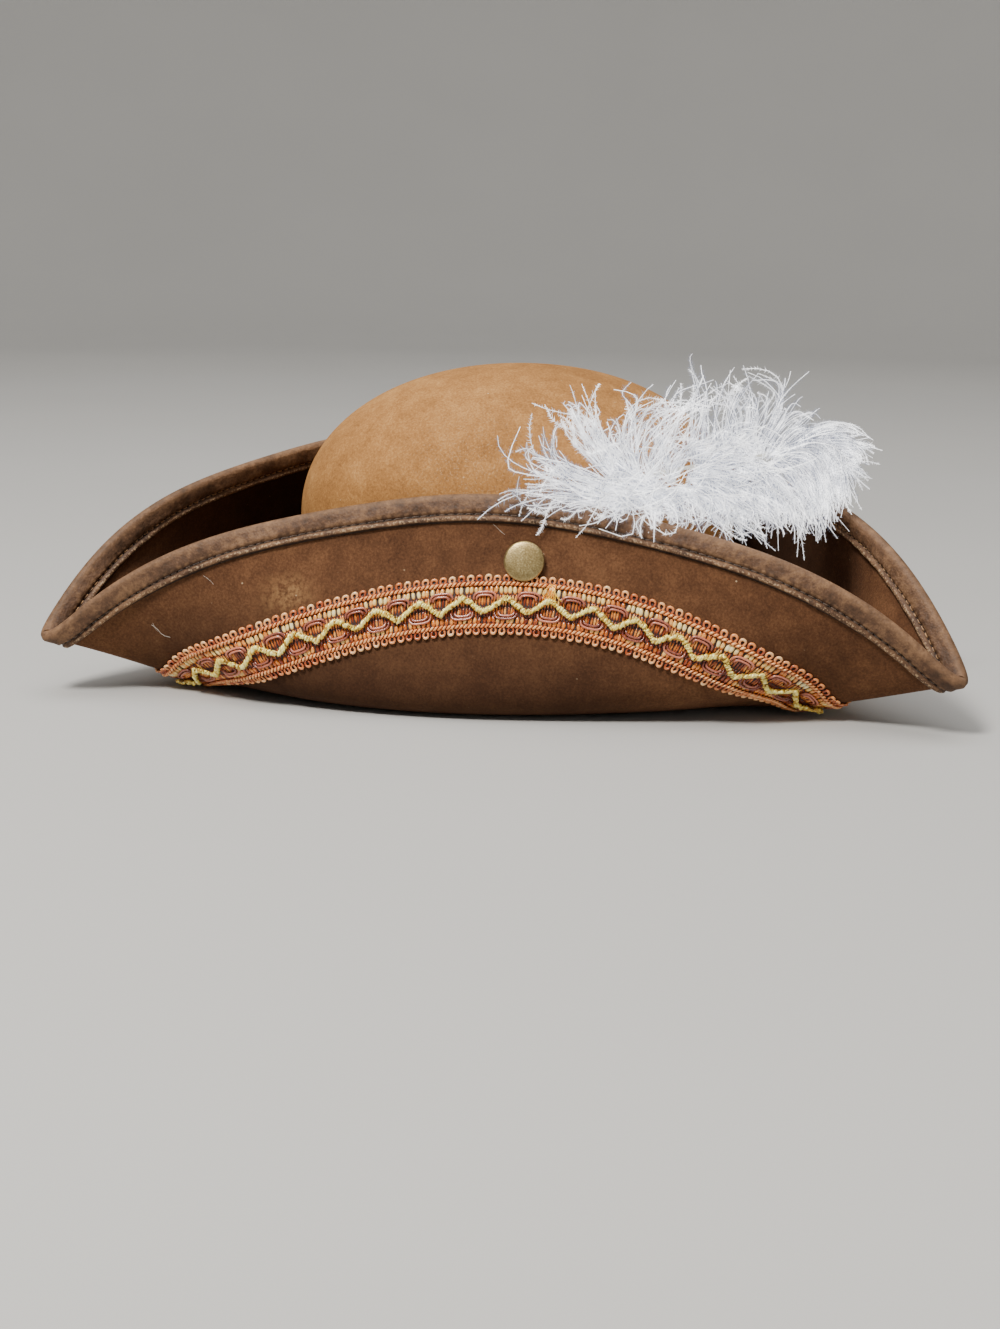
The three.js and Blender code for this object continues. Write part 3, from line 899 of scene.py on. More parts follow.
def shaded(paths, radii, kind, shade, closed=False):
    """Tubes from the flat plan bent onto the brim, and the shade of each of their points"""
    shade = np.broadcast_to(shade, paths.shape[:2])
    return laid(*tubes(paths, radii, SIDES[kind], closed)), np.repeat(shade.ravel(), SIDES[kind])


def braided(name, shaded_threads, material):
    parts, shades_and_tones = zip(*shaded_threads)
    return joined(name, parts, material, np.concatenate(shades_and_tones))


def nearest_on_brim(point):
    """The angle and distance of the place on the under face that is nearest to a point"""
    gaps = np.linalg.norm(NET - np.array(point), axis=-1)
    i, j = np.unravel_index(gaps.argmin(), gaps.shape)
    return NET_ANGLES[i], TOTALS[i] * j / (NET_ROWS - 1)


PEAK_ALONG = np.interp(nearest_on_brim(PEAK_SPOT)[0], band_angle, band_length)
ZIGZAG_START = PEAK_ALONG % PERIOD


def plan_path(along, across, height):
    return np.stack(np.broadcast_arrays(along, across, height), -1)


# %% Braid materials
def yarn_material(name, grain_scale, roughness, metal, *stops):
    """Thread whose colour follows a fine grain and the piece's own shade attribute, which holds a random
    tone and painted light
    """
    material, shader, place = new_material(
        name, Roughness=roughness, Metallic=metal, Specular_IOR_Level=0.9)
    grain = noise(place, grain_scale, 2, 0.6)
    feed(shader, "Base Color", colours(attribute(place, "tint") * 0.8 + grain * 0.4 - 0.1, *stops))
    feed(shader, "Normal", bump(grain, 0.00012, 0.7))
    return material


satin = yarn_material(
    "satin_thread", 1400, 0.22, 0,
    (0.0, (30, 7, 1)), (0.28, (142, 52, 12)), (0.48, (232, 136, 50)), (0.7, (255, 216, 128)),
    (1.0, (255, 246, 196)))
pink_cord = yarn_material(
    "pink_cord", 900, 0.26, 0,
    (0.0, (44, 12, 3)), (0.36, (174, 78, 34)), (0.66, (240, 156, 90)), (1.0, (255, 222, 166)))
mauve_cord = yarn_material(
    "mauve_cord", 900, 0.22, 0, (0.0, (40, 9, 5)), (0.5, (112, 44, 32)), (1.0, (228, 142, 112)))
gold_cord = yarn_material(
    "gold_cord", 1600, 0.24, 0.1,
    (0.0, (66, 38, 4)), (0.36, (196, 148, 40)), (0.64, (250, 226, 104)), (1.0, (255, 252, 176)))
stray_gold = yarn_material(
    "stray_gold", 1400, 0.24, 0, (0.0, (140, 54, 3)), (0.5, (242, 142, 20)), (1.0, (255, 220, 84)))
print("braid materials", [m.name for m in (satin, pink_cord, mauve_cord, gold_cord, stray_gold)])

# %% Braid ground
GROUND_COLUMNS = 720


def build_ground():
    """The backing that shows between the threads, near black as painted shade in the gaps, from rows of
    (millimetres across, height)
    """
    along = np.arange(GROUND_COLUMNS + 1) / GROUND_COLUMNS * BAND
    rows = [(1.6, 0.35), (24.0, 0.35), (24.0, 0.7)]
    rows += [(v, 0.85) for v in np.linspace(23.2, 2.4, 11)] + [(1.6, 0.7)]
    outline = np.stack([on_band(plan_path(along[:-1], v, h)) for v, h in rows], 1)
    material, shader, place = new_material("braid_backing", Roughness=0.6)
    weave = noise(place, 1300, 2)
    # The backing's near black colour is partly painted shade for the gaps between the threads
    feed(shader, "Base Color", blend(weave, srgb(22, 7, 3), srgb(62, 25, 10)))
    feed(shader, "Normal", bump(weave, 0.0003, 0.8))
    return bent_ring("braid_ground", outline, along, material)


ground = build_ground()

# %% Satin bundles
# Rows across the band: where each starts and ends, spacing, half width, height and shade
SATIN_ROWS = [
    dict(start=4.5, end=8.4, pitch=2.0, half=0.88, height=0.9, low=0.3, high=1.0),
    dict(start=8.0, end=13.4, pitch=1.25, half=0.5, height=0.6, low=0.1, high=0.75),
    dict(start=13.2, end=18.0, pitch=1.25, half=0.5, height=0.6, low=0.0, high=0.55),
    dict(start=17.4, end=21.0, pitch=2.0, half=0.88, height=0.9, low=0.1, high=0.75),
]
SATIN_HEIGHT, SATIN_FLATNESS = 0.75, 0.62
SATIN_PLUMPNESS = np.array([0.45, 0.9, 1.0, 1.0, 0.9, 0.45])


def satin_threads(rng):
    """Plump bundles, flattened, that lean a little either way and are brighter beside the peaks"""
    step = np.linspace(0, 1, len(SATIN_PLUMPNESS))
    for row in SATIN_ROWS:
        count = round(BAND / row["pitch"])
        along = (np.arange(count)[:, None] + rng.normal(0, 0.1, (count, 1))) * BAND / count
        bright = 0.5 + 0.5 * np.cos(2 * np.pi * (along - ZIGZAG_START) / PERIOD)
        along = along + rng.normal(0, 0.4, (count, 1)) * (step - 0.5)
        across = row["start"] + (row["end"] - row["start"]) * step + rng.normal(0, 0.12, (count, 1))
        height = 0.55 + row["height"] * 0.6 * np.sin(np.pi * np.clip(step, 0.06, 0.94)) ** 0.7
        radii = row["half"] * SATIN_PLUMPNESS * rng.uniform(0.85, 1.08, (count, 1))
        points, faces = tubes(plan_path(along, across, height), radii, SIDES["round"])
        points[:, 2] = SATIN_HEIGHT + (points[:, 2] - SATIN_HEIGHT) * SATIN_FLATNESS
        shade = row["low"] + (row["high"] - row["low"]) * (0.4 * bright + 0.6 * rng.random((count, 1)))
        # Painted light: each bundle is bright in the middle, where it bulges, and shaded at its ends
        shade = shade * (0.35 + 0.8 * np.sin(np.pi * step))
        yield laid(points, faces), np.repeat(shade.ravel(), SIDES["round"])


satin_bundles = braided("braid_satin", satin_threads(np.random.default_rng(3)), satin)

# %% Edge loops and side cords
SIDE_CORDS = dict(middles=(3.9, 21.5), steps=2200)


def picot_threads(rng):
    """Round loops past both edges, open in the middle, whose ends go in under the cord"""
    half, bar = 1.12, 1.72
    swing = np.linspace(0, math.pi, 9)
    x = np.concatenate([[-0.5, -half + 0.1], -half * np.cos(swing), [half - 0.1, 0.5]])
    y = np.concatenate([[bar + 1.6, bar + 0.7], bar - half * np.sin(swing), [bar + 0.7, bar + 1.6]])
    radius = 0.5 + 0.14 * bell(y, bar - half, 0.6)
    middle = (np.arange(PICOTS)[:, None] + 0.5) * PICOT_PITCH + rng.normal(0, 0.1, (PICOTS, 1))
    for edge in (1, -1):
        reach = rng.normal(0, 0.12, (PICOTS, 1))
        across = (y + reach) if edge == 1 else BRAID["width"] - (y + reach)
        path = plan_path(middle + x * rng.uniform(0.92, 1.05, (PICOTS, 1)), across, 1.05)
        # A random tone, with a painted highlight on the round outer end of each loop
        shade = rng.uniform(0.3, 0.85, (PICOTS, 1)) + 1.8 * (radius - 0.56)
        yield shaded(path, radius, "looped", shade)


def side_cord_threads(rng):
    """Two thick plies twisted together, one full turn for each loop"""
    count = SIDE_CORDS["steps"]
    along = np.arange(count) / count * BAND
    for middle in SIDE_CORDS["middles"]:
        for ply in (0, math.pi):
            turn = 2 * np.pi * along / PICOT_PITCH + ply
            across = middle + 0.64 * np.cos(turn)
            path = plan_path(along, across, 1.5 + 0.45 * np.sin(turn))[None]
            # Painted light: each ply is lit where it rises over the other and shaded where it dips
            shade = np.clip(0.36 + 0.46 * np.sin(turn) + rng.normal(0, 0.1, count), 0, 1)
            yield shaded(path, 0.43 + 0.12 * np.sin(turn), "fine", shade, closed=True)


picots = braided("braid_picots", picot_threads(np.random.default_rng(4)), pink_cord)
side_cords = braided("braid_side_cords", side_cord_threads(np.random.default_rng(5)), pink_cord)

# %% Arches and zigzag
ZIGZAG = dict(middle=13.1, swing=2.8, height=2.8, radius=0.56, steps=2800, sharpness=0.96)
ARCH_HALF, ARCH_GAP = 4.6, 1.3
# Side of the band, where the arch stands, how far it rises, and its shift in periods from a peak
ARCHES = ((1, 10.9, 3.5, 0.5), (-1, 15.3, 3.4, 0.0))


def arch_threads(rng):
    """Pairs of cords in low arches, over the zigzag's valleys and under its peaks"""
    turn = np.linspace(0, math.pi, 19)
    flat_x = -ARCH_HALF * np.sign(np.cos(turn)) * np.abs(np.cos(turn)) ** 0.7
    flat_y = np.sin(turn) ** 0.55
    for edge, foot, height, shift in ARCHES:
        for inset in (0.0, ARCH_GAP):
            centre = ZIGZAG_START + (np.arange(PERIODS)[:, None] + shift) * PERIOD
            centre = centre + rng.normal(0, 0.12, (PERIODS, 1))
            x = flat_x * (1 - inset / ARCH_HALF)
            y = (height - inset) * flat_y
            path = plan_path(centre + x, foot - edge * y, 2.05 - 0.7 * (1 - flat_y))
            # A random tone, with a painted highlight where the arch stands highest
            yield shaded(path, 0.48, "round", rng.uniform(0.35, 0.75, (PERIODS, 1)) + 0.25 * flat_y)


def zigzag_threads(rng):
    """Three crinkled plies, from peak to valley"""
    count, sharp = ZIGZAG["steps"], ZIGZAG["sharpness"]
    along = np.arange(count) / count * BAND
    wave = np.arcsin(sharp * np.cos(2 * np.pi * (along - ZIGZAG_START) / PERIOD)) / math.asin(sharp)
    across = ZIGZAG["middle"] - ZIGZAG["swing"] * wave
    for ply in range(3):
        twist = 2 * np.pi * (along / 2.6 + ply / 3) + 0.9 * np.sin(along / 1.7 + ply)
        crinkle = rng.normal(0, 0.12, count)
        offset = 0.86 + 0.26 * np.sin(along / 0.6 + 2 * ply) + crinkle
        height = ZIGZAG["height"] + offset * 0.6 * np.sin(twist)
        path = plan_path(along, across + offset * np.cos(twist), height)[None]
        # Painted light: each ply is lit where it comes up on top and shaded where it goes under
        shade = np.clip(0.5 + 0.3 * np.sin(twist) + rng.normal(0, 0.4, count), 0, 1)
        yield shaded(path, ZIGZAG["radius"] + crinkle, "fine", shade, closed=True)


def stray_threads(rng):
    """Loose gold strands between the top row and one peak of the zigzag"""
    paths = []
    step = np.linspace(0, 1, 9)
    for _ in range(14):
        start, bow, end = rng.normal(0, (0.6, 0.6, 1.9))
        along = PEAK_ALONG + start * (1 - step) + end * step + bow * np.sin(np.pi * step)
        across = 3.6 + 6.6 * step + rng.normal(0, 0.25, 9)
        paths.append(plan_path(along, across, 2.2 + 0.8 * np.sin(np.pi * step) + rng.normal(0, 0.1, 9)))
    yield shaded(np.array(paths), 0.22, "fine", rng.uniform(0.2, 1.0, (len(paths), 1)))


arches = braided("braid_arches", arch_threads(np.random.default_rng(6)), mauve_cord)
zigzag = braided("braid_zigzag", zigzag_threads(np.random.default_rng(8)), gold_cord)
stray_tuft = braided("braid_stray_tuft", stray_threads(np.random.default_rng(9)), stray_gold)

# %% [markdown]
# ## Signs of making and wear
# The braid is sewn on, so its stitches show inside the brim as two rows of tan dashes. A few bits of
# white lint cling to the felt. They are thin tubes too, each snapped to the nearest point of the brim,
# which is simpler than painting them.

# %% Sewing rows and lint
# Radius of each bit, and its points in millimetres from the middle of the head oval
LINT = [
    (0.08, (16.6, -175.6, 31.4), (17.1, -173.9, 30.0), (17.1, -172.9, 29.4), (17.4, -172.0, 27.9),
     (17.6, -170.3, 26.6), (19.2, -168.0, 25.9)),
    (0.05, (16.8, -175.0, 32.6), (16.5, -174.4, 30.4), (16.8, -173.1, 28.4)),
    (0.05, (85.7, -45.0, 80.4), (86.8, -43.6, 79.3), (88.0, -42.3, 77.8), (89.3, -40.9, 76.2)),
    (0.05, (30.7, -155.4, 54.3), (32.1, -153.1, 52.7), (33.4, -151.7, 51.1)),
]
SEWING = dict(offsets=(-9.6, 9.6), length=5.5, share=0.62, radius=0.26, lift=0.16)


def build_lint():
    parts = []
    for radius, *line in LINT:
        angle, distance = np.array([nearest_on_brim(point) for point in line]).T
        place = np.linspace(0, len(line) - 1, 4 * len(line))
        spots = [np.interp(place, np.arange(len(line)), v) for v in (angle, distance)]
        parts.append(tubes(on_brim(*spots, 0.12)[None], radius, 5))
    material, shader, place = new_material("lint", Roughness=0.8)
    feed(shader, "Base Color", blend(noise(place, 300, 1), srgb(236, 230, 220), srgb(208, 190, 164)))
    return joined("felt_lint", parts, material)


def build_sewing_rows():
    parts = []
    for offset in SEWING["offsets"]:
        def line(angle):
            return braid_middle(angle) + offset

        angles, lengths = arc_table(line)
        count = round(lengths[-1] / SEWING["length"])
        parts.append(running_stitches(
            line, lengths, angles, count, SEWING["share"],
            lambda sunk: 0.25 * sunk - FELT - SEWING["lift"], SEWING["radius"]))
    thread = thread_material("braid_thread", srgb(206, 160, 104), srgb(150, 106, 62))
    return joined("braid_sewing", parts, thread)


lint = build_lint()
sewing_rows = build_sewing_rows()

# %% [markdown]
# ## Snap stud
# The flap is held up by a snap: a pressed brass cap outside, its post through flap and crown, and a
# washer inside. All three are turned parts, so a profile spun round an axis describes them best.

# %% Snap stud
# The cap's rolled edge as (millimetres in from its rim, height), its top as (share of radius, height)
CAP_EDGE = [(0.5, 0), (0.12, 0.12), (0, 0.5), (0.03, 0.95), (0.2, 1.3), (0.55, 1.58), (1.1, 1.74)]
CAP_TOP = [(0.7, 1.92), (0.4, 2.08), (0, 2.14)]
CAP_FOOT, STUD_STEPS = 5, 72
# The washer lies askew to the axes, so the solid's box reaches this much past the post's end
WASHER_EDGE, WASHER_THICKNESS = 3, 1.2


def brass_material():
    material, shader, place = new_material("antique_brass", Metallic=0.85, Roughness=0.45)
    clouds = noise(place, 90, 3, 0.6)
    pits = noise(place, 1500, 2, 0.7)
    tone = clouds * 0.45 + pits * 0.55
    colour = colours(tone, (0.3, (118, 98, 60)), (0.5, (160, 138, 92)), (0.7, (198, 178, 128)))
    feed(shader, "Base Color", colour)
    feed(shader, "Roughness", 0.24 + pits * 0.22)
    feed(shader, "Normal", bump(pits, 0.00012, 0.5))
    return material


def build_stud():
    angle = np.array(STUD["angle"], float)
    distance = total_at(angle) - STUD["below_rim"]
    seat = on_brim(angle, distance)
    outwards = on_brim(angle, distance, 1.0) - seat
    low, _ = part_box("snap_stud")
    depth = (Vector(to_scene(seat)) - low).x / MM / max(outwards[0], 0.5) - WASHER_EDGE
    post, cap, under = STUD["post"], STUD["cap"], 2 * GAP + BRAID["thickness"]
    profile = [(0, -depth), (post, -depth), (post, GAP), (CAP_FOOT, GAP), (CAP_FOOT, under)]
    profile += [(cap - inset, under + height) for inset, height in CAP_EDGE]
    profile += [(cap * share, under + height) for share, height in CAP_TOP]
    bm = bmesh.new()
    spun(bm, [bm.verts.new((x * MM, 0, z * MM)) for x, z in profile], STUD_STEPS)
    radius = STUD["washer"] * MM
    washer = bmesh.ops.create_cone(
        bm, cap_ends=True, segments=40, radius1=radius, radius2=radius, depth=WASHER_THICKNESS * MM)
    bmesh.ops.translate(bm, verts=washer["verts"], vec=(0, 0, -depth * MM))
    turn = Vector((0, 0, 1)).rotation_difference(Vector(outwards)).to_matrix().to_4x4()
    bmesh.ops.transform(bm, verts=bm.verts, matrix=Matrix.Translation(Vector(to_scene(seat))) @ turn)
    return finished("snap_cap_and_post", bm, brass_material())


stud = build_stud()

# %% [markdown]
# ## Plume
# An ostrich plume is a soft shaft with hundreds of flues, and each flue carries fine barbules on both
# sides, which make it look downy. Hair would be the usual tool, but it is lost when a model is handed
# on, so each flue is a thin tube and each barbule one narrow triangle. A table of bunches says where
# flues start, what they bend through and where their tips reach, and seeded chance does the rest.

# %% Bunches of flues
# Root, middle and tip in millimetres from the middle of the head oval, flues, spread of tips
BUNCHES = {
    "left": [
        ((99, 2, 92), (98, -26, 93), (97, -45, 96), 9, 2.2),
        ((101, 2, 89), (100, -20, 90), (99, -39, 86), 7, 2.0),
        ((103, -3, 89), (103, -15, 89), (103, -22, 87), 7, 2.5),
        ((98, 5, 93), (95, -27, 102), (93, -36, 117), 5, 1.2),
        ((99, 6, 91), (97, -15, 96), (96, -34, 100), 15, 3.2),
        ((98, 8, 92), (95, -15, 103), (94, -29, 104), 13, 3.5),
        ((97, 10, 93), (93, -20, 106), (92, -22, 120), 13, 3.2),
        ((96, 11, 94), (92, -9, 113), (90, -17, 128), 11, 2.2),
        ((96, 13, 95), (92, -7, 119), (90, -13, 133), 11, 2.0),
        ((96, 12, 94), (93, 1, 110), (91, -8, 127), 14, 3.2),
        ((97, 16, 96), (94, 12, 129), (92, -2, 136), 4, 1.0),
        ((97, 16, 96), (94, 11, 118), (93, 16, 133), 6, 1.2),
        ((98, 14, 95), (95, 7, 113), (93, 2, 121), 14, 4.0),
        ((98, 16, 94), (97, 18, 122), (97, 39, 131), 12, 3.4),
        ((99, 20, 96), (98, 24, 119), (98, 45, 135), 12, 3.4),
        ((98, 30, 100), (97, 26, 113), (96, 21, 121), 8, 4.0),
        ((99, 22, 98), (98, 31, 127), (98, 42, 143), 6, 1.6),
    ],
    "right": [
        ((99, 38, 102), (98, 40, 127), (98, 37, 142), 4, 1.0),
        ((99, 43, 102), (98, 44, 129), (98, 41, 147), 4, 0.9),
        ((100, 42, 102), (99, 42, 119), (98, 48, 133), 12, 3.0),
        ((100, 50, 102), (99, 49, 127), (99, 51, 143), 6, 1.4),
        ((100, 53, 104), (100, 61, 126), (99, 49, 136), 9, 2.6),
        ((100, 54, 104), (100, 57, 127), (100, 61, 140), 9, 2.2),
        ((100, 59, 104), (100, 66, 125), (100, 57, 136), 9, 2.2),
        ((100, 64, 104), (101, 79, 132), (101, 65, 139), 6, 0.8),
        ((100, 66, 106), (100, 69, 125), (100, 71, 134), 11, 2.4),
        ((100, 68, 107), (100, 74, 126), (101, 85, 139), 4, 0.7),
        ((100, 70, 107), (101, 77, 123), (101, 83, 129), 11, 2.2),
        ((100, 73, 107), (101, 82, 122), (101, 92, 127), 8, 1.4),
        ((100, 75, 107), (101, 88, 121), (102, 99, 126), 5, 0.8),
        ((101, 75, 107), (102, 84, 117), (102, 91, 119), 12, 2.6),
    ],
    "end": [
        ((101, 83, 109), (102, 99, 118), (103, 118, 112), 30, 2.4),
        ((101, 87, 109), (102, 107, 114), (103, 122, 109), 24, 2.2),
        ((101, 89, 107), (102, 109, 110), (103, 119, 103), 30, 2.2),
        ((101, 89, 106), (103, 107, 105), (104, 119, 96), 24, 2.2),
        ((102, 89, 105), (103, 104, 101), (104, 111, 91), 22, 2.0),
        ((102, 77, 108), (106, 99, 110), (106, 105, 85), 70, 2.6),
        ((103, 77, 106), (108, 93, 104), (109, 100, 80), 70, 3.0),
        ((103, 75, 104), (110, 86, 99), (112, 92, 76), 60, 3.4),
        ((102, 81, 108), (105, 104, 104), (105, 108, 85), 44, 1.6),
        ((103, 82, 102), (107, 96, 90), (108, 107, 75), 3, 0.8),
        ((104, 78, 102), (111, 87, 87), (113, 94, 68), 5, 1.2),
        ((103, 82, 102), (108, 92, 89), (110, 102, 72), 5, 1.2),
    ],
    "low": [
        ((103, 60, 102), (112, 73, 94), (116, 77, 77), 54, 4.2),
        ((103, 67, 102), (112, 78, 93), (116, 82, 73), 22, 2.6),
        ((104, 51, 100), (114, 63, 91), (118, 68, 78), 44, 4.2),
        ((104, 42, 98), (116, 53, 90), (120, 57, 78), 44, 4.4),
        ((105, 36, 97), (117, 45, 88), (121, 57, 71), 8, 1.4),
        ((105, 31, 96), (117, 39, 88), (120, 50, 75), 8, 1.4),
        ((105, 31, 95), (116, 37, 90), (118, 35, 80), 28, 4.0),
        ((105, 38, 96), (116, 45, 89), (119, 44, 79), 26, 4.0),
        ((105, 24, 95), (115, 25, 89), (118, 22, 83), 28, 4.0),
        ((105, 16, 91), (113, 15, 87), (117, 12, 84), 26, 3.6),
        ((104, 6, 91), (109, 2, 88), (111, -2, 86), 22, 3.6),
        ((113, 13, 87), (119, 7, 83), (120, 7, 76), 2, 0.4),
    ],
    "body": [
        ((103, 41, 103), (107, 59, 104), (108, 79, 95), 44, 8.0),
        ((104, 36, 99), (110, 50, 97), (113, 63, 88), 46, 8.0),
        ((101, 42, 101), (103, 55, 112), (104, 70, 115), 40, 7.0),
        ((100, 30, 98), (101, 34, 110), (102, 42, 118), 34, 8.0),
        ((102, 14, 91), (107, 16, 97), (108, 24, 100), 50, 8.0),
        ((104, 20, 92), (112, 24, 92), (114, 30, 88), 56, 7.0),
        ((103, 22, 94), (106, 8, 98), (106, -4, 100), 50, 8.0),
        ((104, 14, 91), (108, 2, 92), (108, -8, 92), 46, 6.0),
        ((99, 18, 94), (99, 6, 104), (98, -2, 112), 30, 6.0),
    ],
}
# The seed of each group's chance, and how far its flues wander off their line
GROUPS = {
    "left": (11, 0.07), "right": (12, 0.055), "end": (13, 0.045), "low": (14, 0.075), "body": (15, 0.14),
}
FLUE_STEPS = 12
BARBULES = 52
# Half thickness of a flue at its root and tip, and how far its barbules stand out
RACHIS = (0.26, 0.13)
DOWN_REACH = (0.9, 1.7)


# %% Plume
# Height of the scatter against its width
FLATNESS = np.array([1.0, 1.0, 0.7])
# The plume's flat side looks this way, and the barbules stand out along it
OPEN_SIDE = (1.0, -0.3, 0.2)


def scatter(rng, point, count, spread):
    """A point for each flue. Flues go in pairs, which stay close together."""
    pairs = rng.normal(0, spread, (count // 2 + 1, 3)).repeat(2, axis=0)[:count]
    return np.array(point, float) + (pairs + rng.normal(0, 0.45 * spread, (count, 3))) * FLATNESS


def flue_paths(bunch, wander, rng):
    root, middle, tip, count, spread = bunch
    root, middle, tip = (
        scatter(rng, point, count, width)[:, None]
        for point, width in ((root, 1.0), (middle, 0.55 * spread), (tip, spread)))
    bend = 2 * middle - (root + tip) / 2
    u = np.linspace(0, 1, FLUE_STEPS)[None, :, None] * (1 - 0.4 * rng.random((count, 1, 1)) ** 2)
    path = root * (1 - u) ** 2 + bend * 2 * u * (1 - u) + tip * u ** 2
    length = np.linalg.norm(tip - root, axis=-1, keepdims=True)
    for waves in (0.6, 1.3):
        sway = rng.normal(0, 1, (count, 1, 3))
        phase = rng.uniform(0, 2 * np.pi, (count, 1, 1))
        path = path + sway * (wander / waves) * length * u * np.sin(2 * np.pi * waves * u + phase)
    return path + rng.normal(0, 0.7, (count, 1, 3)) * length * np.maximum(u - 0.7, 0) ** 2


def downy(path, rng):
    """Narrow triangles down both sides of each flue"""
    count = len(path)
    share = np.linspace(0.08, 0.985, BARBULES)[None] + rng.normal(0, 0.005, (count, BARBULES))
    place = np.clip(share, 0, 1) * (FLUE_STEPS - 1)
    low = np.minimum(place.astype(int), FLUE_STEPS - 2)
    mix = (place - low)[..., None]
    rows = np.arange(count)[:, None]
    base = path[rows, low] * (1 - mix) + path[rows, low + 1] * mix
    ahead = unit(path[rows, low + 1] - path[rows, low])
    side = unit(np.cross(ahead, np.array(OPEN_SIDE) + rng.normal(0, 0.5, (count, 1, 3))))
    width = 0.2 * np.linalg.norm(path[:, -1] - path[:, 0], axis=-1)[:, None, None] / BARBULES
    taper = np.minimum(1, 0.4 + 4 * (1 - share))[..., None]
    points = []
    for sign in (1, -1):
        reach = taper * rng.uniform(*DOWN_REACH, (count, BARBULES, 1))
        stray = rng.normal(0, 0.25, (count, BARBULES, 3))
        tip = base + (sign * side + ahead * 0.7 + stray) * reach
        points.append(np.stack([base - ahead * width, base + ahead * width, tip], 2))
    points = np.stack(points, 2).reshape(-1, 3)
    return points, [np.arange(len(points)).reshape(-1, 3)]


def build_plume(group):
    seed, wander = GROUPS[group]
    rng = np.random.default_rng(seed)
    path = np.concatenate([flue_paths(bunch, wander, rng) for bunch in BUNCHES[group]])
    # A random tone for each flue, with painted shade towards its root
    shaft_shade = rng.uniform(0.6, 1.0, (len(path), 1)) * np.linspace(0.7, 1, FLUE_STEPS)
    down_shade = 0.95 * rng.random((len(path), 1)) ** 1.7 * np.linspace(0.25, 1, BARBULES)
    tint = np.concatenate([np.repeat(shaft_shade.ravel(), 3), np.repeat(down_shade.ravel(), 6)])
    parts = [tubes(path, np.linspace(*RACHIS, FLUE_STEPS), 3), downy(path, rng)]
    return joined("plume_" + group, parts, white_flue, tint, smooth=False)


def feather_material():
    """White down, with painted shade and a painted glow of its own, though it is no lamp"""
    material, shader, place = new_material(
        "white_flue", Roughness=0.7, Sheen_Weight=0.3, Specular_IOR_Level=0.3, Emission_Strength=1.7)
    # Painted shade: the shade kept on the points, and patches of painted shadow between the locks
    shade = attribute(place, "tint") * (0.66 + 0.34 * ramp(noise(place, 150, 2, 0.6), 0.38, 0.6))
    feed(shader, "Base Color", blend(ramp(shade, 0.0, 0.7), srgb(138, 142, 156), srgb(255, 255, 255)))
    # The painted glow follows the same painted shade
    feed(shader, "Emission Color", blend(ramp(shade, 0.1, 1.0), srgb(58, 62, 76), srgb(255, 255, 255)))
    return material


white_flue = feather_material()
plumes = [build_plume(group) for group in GROUPS]


# %% Quill
# Millimetres from the middle of the head oval, from the bare end upwards
QUILL_LINE = np.array([
    (85.3, -24, 50), (85.3, -23, 70), (87.2, -18, 84), (93, -6, 94), (100, 14, 100), (101, 40, 104),
    (100, 72, 108), (99, 98, 106),
])
QUILL_STEPS = 64


def build_quill():
    """The bare end of the shaft, pushed down between flap and crown, and the shaft inside the down"""
    place = np.linspace(0, len(QUILL_LINE) - 1, QUILL_STEPS)
    path = np.stack([np.interp(place, np.arange(len(QUILL_LINE)), line) for line in QUILL_LINE.T], -1)
    for _ in range(8):
        path[1:-1] = (path[:-2] + 2 * path[1:-1] + path[2:]) / 4
    radii = np.linspace(1.5, 0.5, QUILL_STEPS)
    material, shader, place = new_material("quill_horn", Roughness=0.4)
    tone = noise(place, 80, 2)
    feed(shader, "Base Color", blend(tone, srgb(226, 220, 202), srgb(244, 240, 228)))
    return joined("plume_quill", [tubes(path[None], radii, 10)], material)


quill = build_quill()

# %% [markdown]
# ## Floor and light
# The floor is a wide shallow bowl, so that there is no horizon from any side. Light is soft: a wide
# panel overhead gives most of it, a small stronger one in front adds shape, and a third is a weak fill.

# %% Floor
# Metres: the flat part's radius, the bend up to the wall, the wall, and a hair's gap under the hat
FLOOR = dict(radius=2.4, bend=1.2, wall=2.2, drop=0.0002, steps=72)


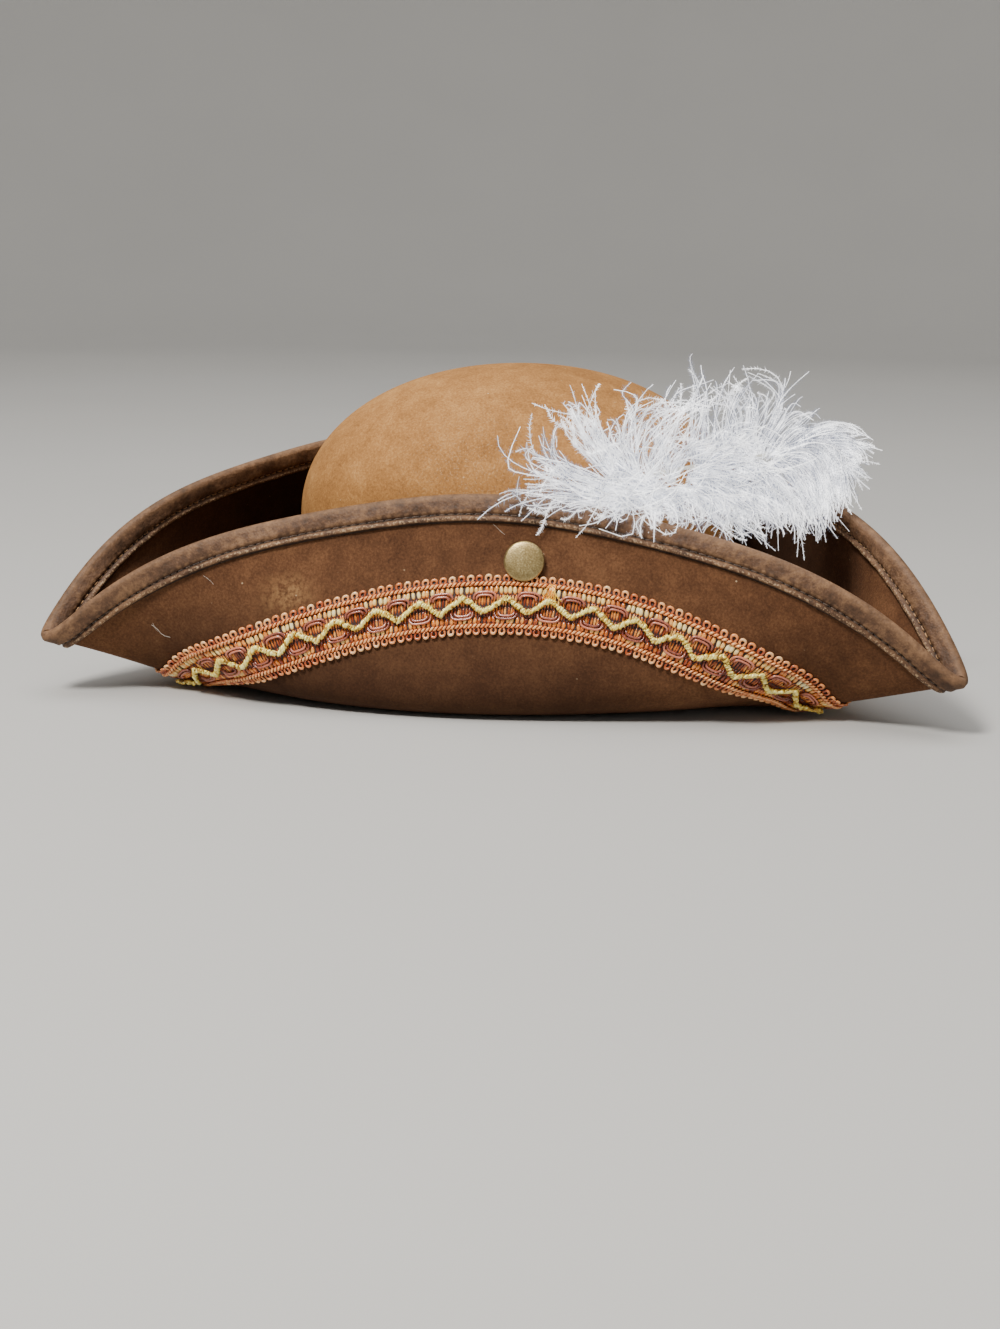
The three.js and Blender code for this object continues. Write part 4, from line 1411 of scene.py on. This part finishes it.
def build_floor():
    radius, bend = FLOOR["radius"], FLOOR["bend"]
    profile = [(0, 0), (0.6, 0), (1.4, 0), (radius, 0)]
    profile += [
        (radius + bend * math.sin(a), bend * (1 - math.cos(a)))
        for a in (math.radians(d) for d in range(9, 91, 9))
    ]
    profile.append((radius + bend, bend + FLOOR["wall"]))
    bm = bmesh.new()
    spun(bm, [bm.verts.new((x, 0, z)) for x, z in profile], FLOOR["steps"])
    material, shader, place = new_material("studio_floor", Roughness=0.8)
    feed(shader, "Base Color", blend(noise(place, 3, 2), srgb(176, 174, 170), srgb(182, 180, 176)))
    floor = finished("studio_floor", bm, material)
    floor.location.z = -FLOOR["drop"]
    floor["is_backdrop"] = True
    return floor


floor = build_floor()

# %% Lights
def add_light(name, place, target, size, power, colour=(1, 1, 1)):
    data = bpy.data.lights.new(name, "AREA")
    data.shape = "RECTANGLE"
    data.size, data.size_y = size
    data.energy = power
    data.color = colour
    light = bpy.data.objects.new(name, data)
    bpy.context.scene.collection.objects.link(light)
    light.location = place
    light.rotation_euler = (Vector(target) - Vector(place)).to_track_quat("-Z", "Y").to_euler()
    return light


add_light("overhead", (0, 0, 3.2), (0, 0, 0), (3.0, 3.0), 96)
add_light("key", (0.7, -0.9, 1.6), (0, 0, 0.08), (0.45, 0.45), 50, (1.0, 0.98, 0.95))
add_light("fill", (1.9, 0.9, 0.7), (0, 0, 0.08), (1.2, 0.9), 2.5)
world = bpy.data.worlds.new("studio")
bpy.context.scene.world = world
world.use_nodes = True
world.node_tree.nodes["Background"].inputs["Color"].default_value = (1.0, 0.98, 0.95, 1)
world.node_tree.nodes["Background"].inputs["Strength"].default_value = 0.12

# %% [markdown]
# ## The hat's body
# Each piece rides on the hat's one body, and the solids it stands for are hidden. Finishes are only
# listed.

# %% Bodies, solids and finishes
PIECES = [
    (crown, "crown_felt", ["crown"]),
    (brim, "brim_felt", ["brim"]),
    (binding, "binding", ["edge_binding"]),
    (outer_stitches, "binding", []),
    (inner_stitches, "binding", []),
    (ground, "braid", ["braid"]),
    (satin_bundles, "braid", []),
    (picots, "braid", []),
    (side_cords, "braid", []),
    (arches, "braid", []),
    (zigzag, "braid", []),
    (stray_tuft, "braid", []),
    (sewing_rows, "braid", []),
    (lint, "brim_felt", []),
    (stud, "brass", ["snap_stud"]),
    (quill, "feather", ["plume"]),
    *((plume, "feather", []) for plume in plumes),
]
for piece, slot, solids in PIECES:
    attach(piece, BODY)
    if solids:
        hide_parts(*solids)

look_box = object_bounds()
for name, (low, high) in (("solids", cad_box), ("dressed", look_box)):
    print(name, [round(v / MM, 1) for v in (*low, *high)])
